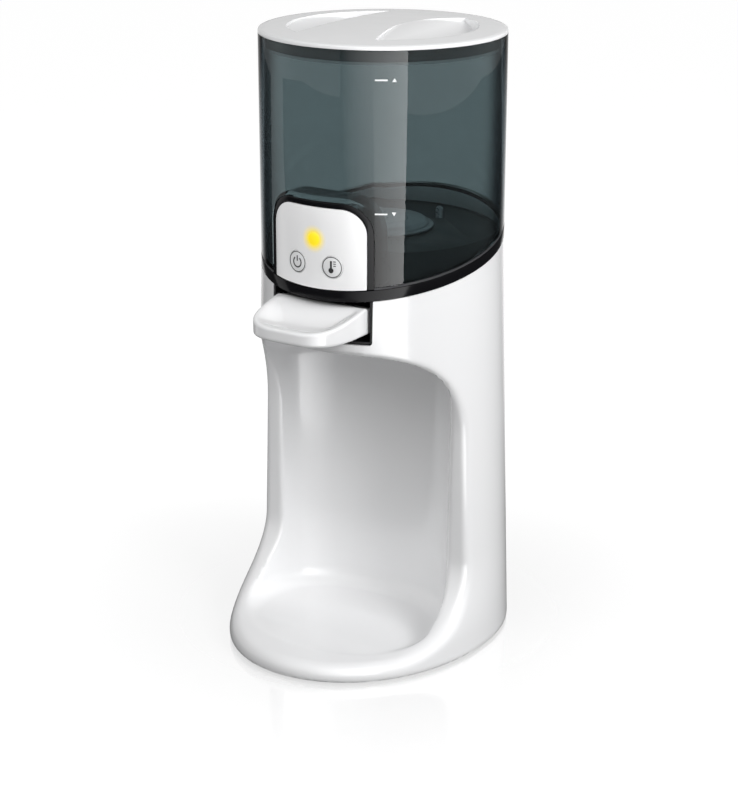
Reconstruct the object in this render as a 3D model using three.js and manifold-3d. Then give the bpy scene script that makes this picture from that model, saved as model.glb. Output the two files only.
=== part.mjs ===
// Instant bottle warmer: a water tank on a white body with a bottle bay.
// Millimetres, +Z up, front towards -Y, origin on the ground under the middle of the foot.
import * as THREE from "three";
import { mergeVertices } from "three/addons/utils/BufferGeometryUtils.js";
import Module from "manifold-3d";

const wasm = await Module();
wasm.setup();

// Fits and cutters
const gap = 0.3;
const overrun = 40;

// Tank radius, which the round pieces above the bay follow
const tankRadius = 74;
const tankWallThickness = 3;

// Body
const shoulderStep = 0.2;
const shoulderRadius = tankRadius - shoulderStep;
const bodyTaper = 7.2;
const footRearRadius = shoulderRadius + bodyTaper;
const bodyWall = 2.6;
const bodyBottom = 0.8;
const footReach = 34.2;
const footWrapPower = 8.6;
const flareStart = 14;
const flareEnd = 62;
const underRadius = 2.5;
const footEdgeRadius = 7;
const lipEdgeRadius = 3;

// Mains inlet in the rear wall and the power board in front of it
const inletHalfWidth = 13;
const inletBottom = 20;
const inletHeight = 16;
const inletTop = inletBottom + inletHeight;
const inletRecess = 2.4;
const inletFace = footRearRadius - inletRecess;
const inletDepth = 16.1;
const inletFront = inletFace - inletDepth;
const powerBoardHeight = 14;
const powerBoardHalfWidth = 35;
const powerBoardGap = 0.5;
const powerBoardBack = inletFront - powerBoardGap;
const powerBoardDepth = 40;
const powerBoardFront = powerBoardBack - powerBoardDepth;

// Bottle bay
const lipWidth = 9;
const bayHalfWidth = tankRadius - lipWidth;
const bayWidening = 3;
const bayFrontWall = 22;
const bayDepthRadius = tankRadius - bayFrontWall;
const wireRoom = 15;
const bayBack = powerBoardFront - wireRoom;
const bayCentre = bayBack - bayDepthRadius;
const bayPower = 2.4;
const bayFloor = 12;
const bayHeight = 184;
const bayCeiling = bayFloor + bayHeight;
const bayFloorFillet = 9;
const bayCeilingFillet = 30;
const mouthSetback = 29;
const mouthEdge = bayBack - mouthSetback;
const mouthCornerReach = 58;
const mouthCornerDrop = 60;
const mouthCornerPower = 2.2;
const rimReach = 60.5;
const rimPower = 1.9;

// Slanted seam between body and tank
const headHeight = 48.2;
const seamHeight = bayCeiling + headHeight;
const seamTiltDegrees = 12.79;
const bandHeight = 6.6;
const collarLip = 2.1;
const collarInnerRadius = tankRadius - tankWallThickness - collarLip;
const spigotDepth = 5;

// Tank and lid
const tankHeight = 130.3;
const tankTop = seamHeight + tankHeight;
const gasketThickness = 1.2;
const lidRise = 2.5;
const lidRimHeight = 2.2;
const lidEdgeRadius = 1;
const lidSealRadius = tankRadius - tankWallThickness - gap;
const lidFlangeRadius = lidSealRadius - gap;
const lidSealGroove = 0.8;
const lidSkirtRadius = lidFlangeRadius - lidSealGroove;
const lidSkirtWall = 2;
const lidSkirtDepth = 8.8;
const lidFlangeHeight = 1.6;
const lidSealHeight = 3;
const lidMargin = 17;
const lidPocketRadius = tankRadius - lidMargin;
const lidPocketDepth = 9.5;
const lidPocketWall = 2;
const lidBarLeft = 27;
const lidBarRight = 11.6;
const lidBarRightEnd = 27;
const lidBarSkew = 20;
const lidRidgeInset = 11;
const lidRidge = lidPocketRadius - lidRidgeInset;

// Control panel
const panelHalfWidth = 31.8;
const panelHeight = 38.8;
const panelTop = seamHeight + panelHeight;
const panelCorner = 14.5;
const panelThickness = 2.5;
const surroundWidth = 3.7;
const housingBackWall = 1.8;
const housingDepth = 17.6;
const housingBack = housingDepth - tankRadius;
const alcoveWall = 2.2;
const buttonOffset = 12.2;
const buttonRise = 4.4;
const buttonHeight = seamHeight + buttonRise;
const buttonRadius = 6.5;
const buttonTravel = 0.7;
const buttonFlangeRadius = 7.7;
const buttonFlangeThickness = 1.5;
const buttonDepth = 5.7;
const buttonFlangeFront = buttonDepth - tankRadius;
const buttonPostRadius = 2.5;
const lensRadius = 4;
const lensRise = 19.8;
const lensHeight = seamHeight + lensRise;
const lensDepth = 5;
const boardSetback = 12.4;
const controlBoardFront = boardSetback - tankRadius;
const boardThickness = 1.6;
const controlBoardHalfWidth = 28;
const controlBoardDrop = 3.7;
const controlBoardBottom = seamHeight - controlBoardDrop;
const controlBoardHeight = 35.5;
const controlBoardTop = controlBoardBottom + controlBoardHeight;
const switchSize = 6;
const switchDepth = 3.5;
const ledRadius = 2.5;

// Heater platform in the tank
const platformRadius = collarInnerRadius - gap;
const platformRise = 12.9;
const platformTop = seamHeight + platformRise;
const platformWall = 2.5;
const platformSkirtDrop = 4;
const valveHoleRadius = 6;
const spoutSetback = 36;
const spoutY = spoutSetback - tankRadius;
const plateFlangeRadius = 31;
const plateFlangeWidth = 3;
const plateRadius = plateFlangeRadius - plateFlangeWidth;
const plateSeatWidth = 4;
const plateHoleRadius = plateRadius - plateSeatWidth;
const plateFlangeThickness = 1.5;
const plateThickness = 1.2;
const plateRise = 4.9;
const plateTop = platformTop + plateRise;
const plateEdgeRadius = 2;
const elementInset = 10;
const elementRadius = plateRadius - elementInset;
const elementWire = 3.2;
const thermostatRadius = 8;
const thermostatHeight = 8;
const fuseRadius = 2;
const fuseLength = 12;
const fuseOffset = 11;
const probeX = 17.4;
const probeY = 37.5;
const probeRadius = 2.5;
const probeRise = 6.9;
const probeTop = platformTop + probeRise;
const probeFlangeRadius = 5;
const probeFlangeThickness = 2;
const probeTail = 8;

// Valve over the spout
const valveRadius = 10;
const valveRise = 26;
const valveBottom = bayCeiling + valveRise;
const guideHeight = 2.5;
const guideRadius = 2.6;
const outletRadius = 6;
const outletHeight = 11.5;
const outletTop = valveBottom + outletHeight;
const seatRadius = 4.5;
const seatHeight = 2.5;
const chamberRadius = 7.6;
const portRise = 7;
const portHeight = valveBottom + portRise;
const portRadius = 4;
const portBore = 2.5;
const portReach = 18;
const stemRadius = 2.3;
const stemFootRadius = 4;
const stemFootHeight = 1.8;
const stemDrop = 10.8;
const stemBottom = valveBottom - stemDrop;
const discRadius = 6.6;
const discHeight = 3;
const pilotRadius = 2.5;
const pilotHeight = 3;
const springRadius = 4.6;
const springWire = 0.9;
const springTurns = 4;
const strainerDepth = 5.1;
const strainerBottom = platformTop - strainerDepth;
const strainerThickness = 1.6;
const strainerHole = 1.8;
const strainerPitch = 4.2;

// Spout under the valve
const spoutDrop = 5;
const spoutTip = bayCeiling - spoutDrop;
const spoutRadius = 4.6;
const spoutBore = 3;
const ductHeight = 6.2;
const ductHalfWidth = 5;
const barbSetback = 24;
const barbY = spoutY + barbSetback;
const ductEnd = 6;
const ductBack = barbY + ductEnd;
const ductWall = 1.5;
const barbRadius = 3;
const barbBore = 2;
const barbRise = 16;
const barbTop = bayCeiling + barbRise;
const hoseRadius = 4.2;
const hoseBore = 3;

// Dispensing lever and its pocket
const pinSetback = 16;
const pinY = pinSetback - tankRadius;
const bushRadius = 3.7;
const pocketClearance = 0.5;
const pocketHalfWidth = Math.sqrt((shoulderRadius - bodyWall) ** 2 - (bushRadius - pinY) ** 2) - pocketClearance;
const pocketRise = 7.3;
const pocketBottom = bayCeiling + pocketRise;
const pocketWall = 1.5;
const pocketDepth = 24;
const pocketBack = pocketDepth - tankRadius;
const windowClearance = 0.35;
const windowDrop = 0.5;
const windowBottom = pocketBottom - windowDrop;
const leverTopDrop = 19.3;
const leverRootTop = seamHeight - leverTopDrop;
const pinDrop = 5.9;
const pinZ = leverRootTop - pinDrop;
const pinRadius = 2;
const bushSeat = 4;
const pocketBossRadius = 6;
const leverSideGap = 3.4;
const leverHalfWidth = pocketHalfWidth - leverSideGap;
const leverRootSetback = 7;
const leverRoot = leverRootSetback - tankRadius;
const leverLength = 40;
const leverFront = leverRoot - leverLength;
const leverRise = 12.5;
const leverBottom = bayCeiling + leverRise;
const leverFrontHeight = 7.9;
const leverFrontTop = leverBottom + leverFrontHeight;
const leverInnerDrop = 2.9;
const leverInnerTop = leverRootTop - leverInnerDrop;
const leverInnerDepth = 13;
const leverInnerBack = leverRoot + leverInnerDepth;
const leverPlanPower = 3.4;
const leverRim = 3;
const leverDish = 6.5;
const leverEdge = 2.2;
const armHalfWidth = 4;
const armRise = 11.3;
const armBottom = bayCeiling + armRise;
const rollerRadius = 2;
const rollerRise = 12.9;
const rollerHeight = bayCeiling + rollerRise;
const armSlotHalfWidth = 7;

// Base, feet and screws
const plateBottom = 1.8;
const basePlateThickness = 2.5;
const footPadRadius = 8;
const screwHeadRadius = 3.2;
const screwHeadHeight = 1.1;
const screwRadius = 1.5;
const screwLength = 7;
const bossRadius = 5.5;
const bossBore = 1.8;
const rearBossHeight = 18;
const rearBossInset = 14;
const rearBossRing = footRearRadius - rearBossInset;
const frontBossX = 46;
const frontBossSetback = 37.2;
const frontBossY = frontBossSetback - footRearRadius - footReach;
const padInset = 19;
const padRing = footRearRadius - padInset;
const frontPadX = 50;
const frontPadSetback = 53.2;
const frontPadY = frontPadSetback - footRearRadius - footReach;

// Parts on the power board and in the inlet
const standoffRadius = 3.2;
const standoffInset = 5;
const standoffBore = 1.4;
const boardScrewHeadRadius = 2.6;
const boardScrewHeadHeight = 1.6;
const boardScrewRadius = 1.1;
const boardScrewLength = 6;
const socketHalfWidth = 9;
const socketHalfHeight = 4.8;
const socketDepth = 12;
const inletPinRadius = 1.2;
const inletPinPitch = 8.6;
const inletPinLength = 9;
const transformerWidth = 22;
const transformerDepth = 24;
const transformerHeight = 18;
const relayWidth = 19;
const relayDepth = 15;
const relayHeight = 15;
const capacitorRadius = 5;
const capacitorHeight = 20;
const corridor = 4;
const partsInset = 9;
const partsFront = powerBoardFront + partsInset;
const wireRadius = 1.8;
const wireInset = 2;
const wireY = powerBoardFront + wireInset;
const wireBendDrop = 12.2;
const wireBendHeight = seamHeight - wireBendDrop;
const ribbonThickness = 0.8;
const ribbonLeft = 11;
const ribbonRight = 21;
const ribbonRise = 7.8;
const ribbonTop = seamHeight + ribbonRise;
const ribbonDrop = 18.6;
const ribbonRun = seamHeight - ribbonDrop;
const ribbonNotchDepth = 2;
const ribbonNotch = ribbonRun - ribbonNotchDepth;
const ribbonInset = 4;
const ribbonBack = powerBoardFront + ribbonInset;
const boardPostRadius = 2;
const boardPostInset = 4;

// Mesh fineness
const roundSteps = 60;
const smallSteps = 16;
const boltSteps = 10;

// Finishes
const finish = (color, roughness, metalness = 0, extra = {}) =>
  new THREE.MeshStandardMaterial({ color, roughness, metalness, ...extra });
const whitePlastic = finish(0xf4f4f4, 0.22);
const smokyClear = finish(0x4a5d68, 0.08, 0, { transparent: true, opacity: 0.6 });
const blackPlastic = finish(0x0c0c0d, 0.3);
const darkPlastic = finish(0x1d2327, 0.4);
const rubber = finish(0x26282a, 0.8);
const silicone = finish(0xd5d8d8, 0.6);
const steel = finish(0xb9bcbf, 0.3, 1);
const brass = finish(0xb59a58, 0.35, 1);
const boardGreen = finish(0x1d5a38, 0.5);
const yellowLight = finish(0xffd628, 0.3);
const greyPlastic = finish(0x8d9194, 0.5);

const tan = (degrees) => Math.tan(THREE.MathUtils.degToRad(degrees));
const seam = (y, rise = 0) => seamHeight + y * tan(seamTiltDegrees) + rise;
const far = footRearRadius + footReach + overrun;
const sky = tankTop + overrun;

// Closed meshes as solids, and back again
function solid(geometry) {
  const bare = geometry.clone();
  bare.deleteAttribute("normal");
  bare.deleteAttribute("uv");
  const merged = mergeVertices(bare);
  const corners = merged.index.array;
  const faces = [];
  for (let i = 0; i < corners.length; i += 3) {
    const [a, b, c] = [corners[i], corners[i + 1], corners[i + 2]];
    if (a !== b && b !== c && c !== a) faces.push(a, b, c);
  }
  return new wasm.Manifold(new wasm.Mesh({
    numProp: 3,
    vertProperties: new Float32Array(merged.attributes.position.array),
    triVerts: new Uint32Array(faces),
  }));
}

function geometryOf(shape) {
  const mesh = shape.getMesh();
  const geometry = new THREE.BufferGeometry();
  geometry.setAttribute("position", new THREE.BufferAttribute(mesh.vertProperties, 3));
  geometry.setIndex(new THREE.BufferAttribute(mesh.triVerts, 1));
  geometry.computeVertexNormals();
  return geometry;
}

const outlineOf = (points) =>
  points instanceof THREE.Shape ? points : new THREE.Shape(points.map(([a, b]) => new THREE.Vector2(a, b)));

function prism(points, length, place) {
  const geometry = new THREE.ExtrudeGeometry(outlineOf(points), {
    depth: length,
    bevelEnabled: false,
    curveSegments: smallSteps / 4,
  });
  return solid(geometry.applyMatrix4(place));
}

// Outline in plan, raised from bottom to top
const upright = (points, bottom, top) =>
  prism(points, top - bottom, new THREE.Matrix4().makeTranslation(0, 0, bottom));

// Outline seen from the side (y, z), run from left to right
function sideways(points, left, right) {
  const place = new THREE.Matrix4().set(0, 0, 1, left, 1, 0, 0, 0, 0, 1, 0, 0, 0, 0, 0, 1);
  return prism(points, right - left, place);
}

// Outline seen from the front (x, z), run from back to front
function facing(points, front, back) {
  const place = new THREE.Matrix4().set(1, 0, 0, 0, 0, 0, -1, back, 0, 1, 0, 0, 0, 0, 0, 1);
  return prism(points, back - front, place);
}

const block = (left, right, front, back, bottom, top) =>
  upright([[left, front], [right, front], [right, back], [left, back]], bottom, top);

// Profile of (radius, height) points turned about an upright axis
function turned(profile, x = 0, y = 0, steps = roundSteps) {
  const ring = [...profile, profile[0]];
  const area = ring.slice(1).reduce((sum, [r, z], i) => sum + ring[i][0] * z - r * ring[i][1], 0);
  const ordered = area > 0 ? ring : ring.reverse();
  const points = ordered.map(([r, z]) => new THREE.Vector2(r, z));
  const geometry = new THREE.LatheGeometry(points, steps).rotateX(Math.PI / 2);
  return solid(geometry.translate(x, y, 0));
}

const disc = (radius, bottom, top, x = 0, y = 0, steps = roundSteps) =>
  turned([[0, bottom], [radius, bottom], [radius, top], [0, top]], x, y, steps);

const ringOf = (inner, outer, bottom, top, x = 0, y = 0, steps = roundSteps) =>
  turned([[inner, bottom], [outer, bottom], [outer, top], [inner, top]], x, y, steps);

// Round bar between two points
function bar(radius, from, to, steps = smallSteps) {
  const start = new THREE.Vector3(...from);
  const along = new THREE.Vector3(...to).sub(start);
  const geometry = new THREE.CylinderGeometry(radius, radius, along.length(), steps);
  const turn = new THREE.Quaternion().setFromUnitVectors(new THREE.Vector3(0, 1, 0), along.clone().normalize());
  geometry.applyQuaternion(turn);
  return solid(geometry.translate(...start.addScaledVector(along, 1 / 2).toArray()));
}

// Round bar along a smooth curve
function bent(radius, points, steps, sides) {
  const curve = new THREE.CatmullRomCurve3(points.map((point) => new THREE.Vector3(...point)));
  const section = new THREE.Shape().absarc(0, 0, radius, 0, Math.PI * 2);
  const geometry = new THREE.ExtrudeGeometry(section, {
    steps,
    curveSegments: sides / 2,
    extrudePath: curve,
  });
  return solid(geometry);
}

// Closed skin through level rings of equal count
function lofted(rings) {
  const count = rings[0].length;
  const positions = rings.flat(2);
  const faces = [];
  rings.slice(1).forEach((_, level) => {
    for (let i = 0; i < count; i += 1) {
      const [a, b] = [level * count + i, level * count + ((i + 1) % count)];
      faces.push(a, b, b + count, a, b + count, a + count);
    }
  });
  const middle = (ring) => ring.reduce((sum, p) => sum.map((v, i) => v + p[i] / count), [0, 0, 0]);
  positions.push(...middle(rings[0]), ...middle(rings.at(-1)));
  const [low, high] = [rings.length * count, rings.length * count + 1];
  const last = (rings.length - 1) * count;
  for (let i = 0; i < count; i += 1) {
    const next = (i + 1) % count;
    faces.push(low, next, i, high, last + i, last + next);
  }
  const geometry = new THREE.BufferGeometry();
  geometry.setAttribute("position", new THREE.Float32BufferAttribute(positions, 3));
  geometry.setIndex(faces);
  return solid(geometry);
}

const belowSeam = (rise) =>
  sideways([[-far, -far], [far, -far], [far, seam(far, rise)], [-far, seam(-far, rise)]], -far, far);
const aboveSeam = (rise) =>
  sideways([[-far, seam(-far, rise)], [far, seam(far, rise)], [far, sky], [-far, sky]], -far, far);

// Arch of the control panel: straight sides with two round top corners
function arch(halfWidth, bottom, top, corner) {
  const shape = new THREE.Shape();
  shape.moveTo(-halfWidth, bottom);
  shape.lineTo(halfWidth, bottom);
  shape.lineTo(halfWidth, top - corner);
  shape.absarc(halfWidth - corner, top - corner, corner, 0, Math.PI / 2);
  shape.absarc(corner - halfWidth, top - corner, corner, Math.PI / 2, Math.PI);
  return shape;
}

// Body shape
const bodyRadius = (z) => footRearRadius - ((footRearRadius - shoulderRadius) * z) / seamHeight;
const smooth = (share) => share * share * (3 - 2 * share);
const clamped = (value) => Math.min(Math.max(value, 0), 1);
const quarterRound = (radius, depth) => {
  const reach = radius * clamped(depth / radius);
  return radius - Math.sqrt(radius * radius - reach * reach);
};
const wrap = (angle) => Math.pow(Math.abs(Math.cos(angle / 2)), footWrapPower);
const flare = (angle, z) =>
  bodyRadius(z) + footReach * wrap(angle) * (1 - smooth(clamped((z - flareStart) / (flareEnd - flareStart))));

// Quarter of a squared-off ellipse, from above or below its centre to behind it
function roundedCorner(y, z, reach, height, power, steps) {
  return Array.from({ length: steps + 1 }, (_, i) => {
    const angle = (i / steps) * (Math.PI / 2);
    return [y + reach * Math.pow(Math.sin(angle), 2 / power), z + height * Math.pow(Math.cos(angle), 2 / power)];
  });
}

// Mouth of the bay seen from the side: what is open right across
const mouthSteps = 8;
const rimHeight = flareEnd - flareStart;
const mouthPoints = [
  [-far, bayCeiling],
  ...roundedCorner(mouthEdge - mouthCornerReach, bayCeiling - mouthCornerDrop, mouthCornerReach, mouthCornerDrop,
    mouthCornerPower, mouthSteps),
  ...roundedCorner(mouthEdge - rimReach, bayFloor + rimHeight, rimReach, -rimHeight, rimPower, mouthSteps).toReversed(),
  [-far, bayFloor],
];

// Distance from a point of the side view to the mouth, below zero inside it
function mouthDistance(y, z) {
  let nearest = Infinity;
  let inside = false;
  mouthPoints.forEach(([y1, z1], i) => {
    const [y2, z2] = mouthPoints[(i + 1) % mouthPoints.length];
    const [dy, dz] = [y2 - y1, z2 - z1];
    const share = clamped(((y - y1) * dy + (z - z1) * dz) / (dy * dy + dz * dz));
    nearest = Math.min(nearest, Math.hypot(y - y1 - share * dy, z - z1 - share * dz));
    if (z1 > z !== z2 > z && y < y1 + (dy * (z - z1)) / dz) inside = !inside;
  });
  return inside ? -nearest : nearest;
}

// Inset that rounds the outer skin towards the mouth, most at the foot
function edgeInset(y, z, margin) {
  const rise = smooth(clamped((z - flareStart) / (flareEnd - flareStart)));
  const radius = footEdgeRadius + (lipEdgeRadius - footEdgeRadius) * rise;
  return quarterRound(radius, radius + margin - mouthDistance(y, z));
}

const spigotRadius = bodyRadius(seam(tankRadius, bodyWall)) - bodyWall - 2 * gap;

const underShares = [0, 0.3, 1];
const edgeShares = [0.2, 0.45, 0.65, 0.82];
const flareSteps = 8;
const lipSteps = 3;
const cornerSteps = 5;
const evenly = (from, to, count) => Array.from({ length: count }, (_, i) => from + ((to - from) * (i + 1)) / count);
const levels = [
  ...underShares.map((share) => bodyBottom + share * underRadius),
  ...edgeShares.map((share) => bodyBottom + underRadius + share * (flareStart - bodyBottom - underRadius)),
  flareStart,
  ...evenly(flareStart, flareEnd, flareSteps),
  ...evenly(flareEnd, bayCeiling - mouthCornerDrop, lipSteps),
  ...evenly(bayCeiling - mouthCornerDrop, bayCeiling, cornerSteps),
  bayCeiling + lipEdgeRadius,
  seamHeight + overrun,
];

// Angles from the front, closer together beside the mouth
const lipAngleShares = [0.3, 0.55];
function bodyAngles(fineness) {
  const [front, back] = lipAngleShares;
  const half = [
    ...evenly(0, front, Math.round(fineness * 8)),
    ...evenly(front, back, Math.round(fineness * 13)),
    ...evenly(back, 1, Math.round(fineness * 10)),
  ];
  return [...half.slice(0, -1).map((share) => -share * Math.PI).toReversed(), 0, ...half.map((share) => share * Math.PI)];
}

function bodyLoft(heights, fineness, radiusAt) {
  return lofted(heights.map((z) => bodyAngles(fineness).map((angle) => {
    const radius = radiusAt(angle, z);
    return [radius * Math.sin(angle), -radius * Math.cos(angle), z];
  })));
}

const outerBody = bodyLoft(levels, 1, (angle, z) => {
  const radius = flare(angle, z);
  const edge = edgeInset(-radius * Math.cos(angle), z, 0);
  const under = quarterRound(underRadius, bodyBottom + underRadius - z);
  return radius - edge - under;
});

const innerFineness = 0.8;
const innerLevels = [
  0,
  bodyBottom,
  bodyBottom + underRadius / 2,
  bodyBottom + underRadius,
  bodyBottom + 2 * underRadius,
  flareStart,
  ...evenly(flareStart, flareEnd, flareSteps / 2),
  bayCeiling - mouthCornerDrop,
  bayCeiling,
  bayCeiling + lipEdgeRadius,
  seamHeight + 2 * overrun,
];
const innerRadius = (angle, z) =>
  flare(angle, z + bodyWall) - bodyWall - quarterRound(underRadius, bodyBottom + underRadius - z);
const innerBody = bodyLoft(innerLevels, innerFineness, (angle, z) => {
  const radius = innerRadius(angle, z);
  return radius - edgeInset(-radius * Math.cos(angle), z, bodyWall);
});

// Bottle bay, grown by a margin where it is used for the wall around it
function baySuper(margin) {
  const steps = (roundSteps * 3) / 4;
  const [low, high] = [bayFloor - margin, bayCeiling + margin];
  const shares = [0, 0.15, 0.45, 1];
  const heights = [
    ...shares.map((share) => [low + share * bayFloorFillet, quarterRound(bayFloorFillet, (1 - share) * bayFloorFillet)]),
    ...shares.toReversed().map((share) =>
      [high - share * bayCeilingFillet, quarterRound(bayCeilingFillet, (1 - share) * bayCeilingFillet)]),
  ];
  return lofted(heights.map(([z, inset]) => Array.from({ length: steps }, (_, i) => {
    const angle = (i / steps) * 2 * Math.PI;
    const [c, s] = [Math.cos(angle), Math.sin(angle)];
    const wide = bayHalfWidth + (bayWidening * z) / bayCeiling + margin - inset;
    const deep = bayDepthRadius + margin - inset;
    const power = 2 / bayPower;
    return [
      wide * Math.sign(c) * Math.pow(Math.abs(c), power),
      bayCentre + deep * Math.sign(s) * Math.pow(Math.abs(s), power),
      z,
    ];
  })));
}

// Mouth as a cutter, grown by the same margin
function mouth(margin) {
  const count = mouthPoints.length;
  const grown = mouthPoints.map(([y, z], i) => {
    const before = mouthPoints[Math.max(i - 1, 0)];
    const after = mouthPoints[Math.min(i + 1, count - 1)];
    const along = new THREE.Vector2(after[0] - before[0], after[1] - before[1]).normalize();
    return [y - along.y * margin, z + along.x * margin];
  });
  return sideways(grown.toReversed(), -far, far);
}

const bayVolume = (margin) => baySuper(margin).add(mouth(margin));

const screwPlaces = [
  [frontBossX, frontBossY],
  [-frontBossX, frontBossY],
  [rearBossRing * Math.SQRT1_2, rearBossRing * Math.SQRT1_2],
  [-rearBossRing * Math.SQRT1_2, rearBossRing * Math.SQRT1_2],
];
const basePlateTop = plateBottom + basePlateThickness;

function bodyShell() {
  const rib = (rearBossRing + bossRadius + bossRadius / 2) / rearBossRing;
  const bosses = screwPlaces.flatMap(([x, y]) => y < 0
    ? [disc(bossRadius, basePlateTop + gap, bayFloor, x, y, smallSteps)]
    : [1, rib].map((share) =>
      disc(bossRadius, basePlateTop + gap, rearBossHeight, share * x, share * y, smallSteps)));
  const cavity = innerBody.subtract(bayVolume(bodyWall)).subtract(wasm.Manifold.union(bosses));
  const bores = screwPlaces.map(([x, y]) =>
    disc(bossBore, 0, basePlateTop + gap + screwLength, x, y, boltSteps));
  const half = pocketHalfWidth + windowClearance;
  const window = facing(arch(half, -sky, -windowBottom, leverEdge), -far, pocketBack)
    .mirror([0, 0, 1]);
  const inlet = block(-inletHalfWidth - gap, inletHalfWidth + gap, inletFront, far, inletBottom - gap, inletTop + gap);
  return outerBody
    .subtract(cavity)
    .subtract(bayVolume(0))
    .subtract(wasm.Manifold.union(bores))
    .subtract(window)
    .subtract(inlet)
    .subtract(disc(spoutRadius + gap, bayCeiling - overrun, bayCeiling + overrun, 0, spoutY, smallSteps))
    .intersect(belowSeam(0));
}

// Foot outline for the base plate, from the shell's inner face
function basePlate() {
  const outline = bodyAngles(innerFineness).map((angle) => {
    const radius = innerRadius(angle, bodyBottom) - gap;
    return [radius * Math.sin(angle), -radius * Math.cos(angle)];
  });
  const holes = screwPlaces.map(([x, y]) =>
    disc(screwRadius + gap, 0, overrun, x, y, boltSteps)
      .add(disc(screwHeadRadius + gap, 0, plateBottom + screwHeadHeight + gap, x, y, boltSteps)));
  const posts = standoffPlaces.map(([x, y]) =>
    disc(standoffRadius, plateBottom, powerBoardHeight - gap, x, y, boltSteps));
  const postBores = standoffPlaces.map(([x, y]) => disc(standoffBore, basePlateTop, overrun, x, y, boltSteps));
  return upright(outline, plateBottom, basePlateTop)
    .add(wasm.Manifold.union(posts))
    .subtract(wasm.Manifold.union([...holes, ...postBores]));
}

const standoffX = powerBoardHalfWidth - standoffInset;
const standoffPlaces = [
  [standoffX, powerBoardFront + standoffInset],
  [-standoffX, powerBoardFront + standoffInset],
  [standoffX, powerBoardBack - standoffInset],
  [-standoffX, powerBoardBack - standoffInset],
];
const powerBoardTop = powerBoardHeight + boardThickness;

function screw(headRadius, headHeight, shankRadius, length) {
  return turned([[0, 0], [headRadius, 0], [headRadius, headHeight], [shankRadius, headHeight],
    [shankRadius, length], [0, length]], 0, 0, boltSteps);
}

// Black slanted band with a spigot into the body and a bridge behind the panel's alcove
const alcoveHalfWidth = panelHalfWidth + surroundWidth + gap;
const alcoveTop = panelTop + surroundWidth + gap;
const alcoveCorner = panelCorner + surroundWidth;
const alcoveBack = housingBack + gap;
function collarRing() {
  const band = disc(tankRadius, 0, sky).intersect(belowSeam(bandHeight)).intersect(aboveSeam(gap));
  const spigot = disc(spigotRadius, 0, sky).intersect(belowSeam(bandHeight)).intersect(aboveSeam(-spigotDepth));
  const pocket = block(-pocketHalfWidth - 2 * gap, pocketHalfWidth + 2 * gap, -far, pocketBack + gap, 0, sky)
    .intersect(belowSeam(gap));
  const bridgeHalf = alcoveHalfWidth + 2 * alcoveWall;
  const bridgeBack = alcoveBack + 2 * alcoveWall;
  const bridge = block(-bridgeHalf, bridgeHalf, -tankRadius, bridgeBack, 0, sky);
  const hole = disc(collarInnerRadius, 0, sky).subtract(bridge);
  const slot = block(-ribbonRight - 2 * gap, ribbonRight + 2 * gap, controlBoardFront, alcoveBack - gap, 0, sky);
  return band.add(spigot).subtract(pocket).subtract(hole).subtract(slot);
}

function platformPlan(inset) {
  const half = alcoveHalfWidth + 2 * alcoveWall + gap;
  const back = alcoveBack + 2 * alcoveWall + gap;
  return disc(platformRadius - inset, 0, sky)
    .subtract(block(-half - inset, half + inset, -far, back + inset, -overrun, sky + overrun));
}

function heaterPlatform() {
  const floorBottom = platformTop - platformWall;
  const crossing = (platformTop - seamHeight - bandHeight) / tan(seamTiltDegrees);
  const skirt = sideways([
    [-far, seam(-far, -platformSkirtDrop)],
    [crossing - overrun, seam(crossing - overrun, -platformSkirtDrop)],
    [crossing, floorBottom],
    [far, floorBottom],
    [far, seam(far, bandHeight)],
    [crossing, platformTop],
    [-far, platformTop],
  ], -far, far);
  const slab = block(-far, far, -far, far, floorBottom, platformTop);
  return platformPlan(0).intersect(slab)
    .add(platformPlan(0).subtract(platformPlan(platformWall)).intersect(skirt))
    .subtract(disc(plateHoleRadius, 0, sky, 0, 0, roundSteps / 2))
    .subtract(disc(valveHoleRadius, 0, sky, 0, spoutY, smallSteps))
    .subtract(disc(probeRadius + gap, 0, sky, probeX, probeY, boltSteps));
}

// Clear tank: a tube with an alcove for the control panel
const tankInner = tankRadius - tankWallThickness;
function tankForm(bottomRise) {
  const alcove = (margin) => facing(
    arch(alcoveHalfWidth + margin, 0, alcoveTop + margin, alcoveCorner + margin), -far, alcoveBack + margin);
  return ringOf(tankInner, tankRadius, 0, tankTop)
    .add(alcove(alcoveWall).intersect(disc(tankRadius - gap, 0, tankTop)))
    .subtract(alcove(0))
    .intersect(aboveSeam(bottomRise));
}
const gasketRise = bandHeight + gap;
const tankRise = gasketRise + gasketThickness + gap;

// Lid: rim, low dome, two finger pockets and a skirt with a seal
const lidUnder = tankTop + gap;
const rimTop = lidUnder + lidRimHeight;
const lidTop = rimTop + lidRise;
function lidPocket(side, margin) {
  const shape = new THREE.Shape();
  const arc = lidPocketRadius + margin;
  if (side < 0) {
    const edge = -lidBarLeft + margin;
    const angle = Math.acos(edge / arc);
    shape.absarc(0, 0, arc, angle, 2 * Math.PI - angle);
  } else {
    const end = lidBarRightEnd - margin;
    const angle = Math.acos(end / arc);
    shape.absarc(0, 0, arc, -angle, angle);
    const bulge = 2 * (lidBarRight - margin) - end;
    shape.quadraticCurveTo(bulge, lidBarSkew, end, -arc * Math.sin(angle));
  }
  const deep = lidTop - lidPocketDepth - margin;
  const shallow = rimTop - margin;
  const floor = side < 0
    ? [[margin - lidBarLeft, deep], [margin - lidBarLeft, sky], [-far, sky], [-far, shallow], [-arc, shallow]]
    : [[lidBarRight - margin, lidTop - margin], [lidRidge, deep], [arc, shallow], [far, shallow], [far, sky],
      [-far, sky], [-far, lidTop - margin]];
  const wedge = facing(side < 0 ? floor : floor.toReversed(), -far, far);
  return upright(shape, 0, sky).intersect(wedge);
}

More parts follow.
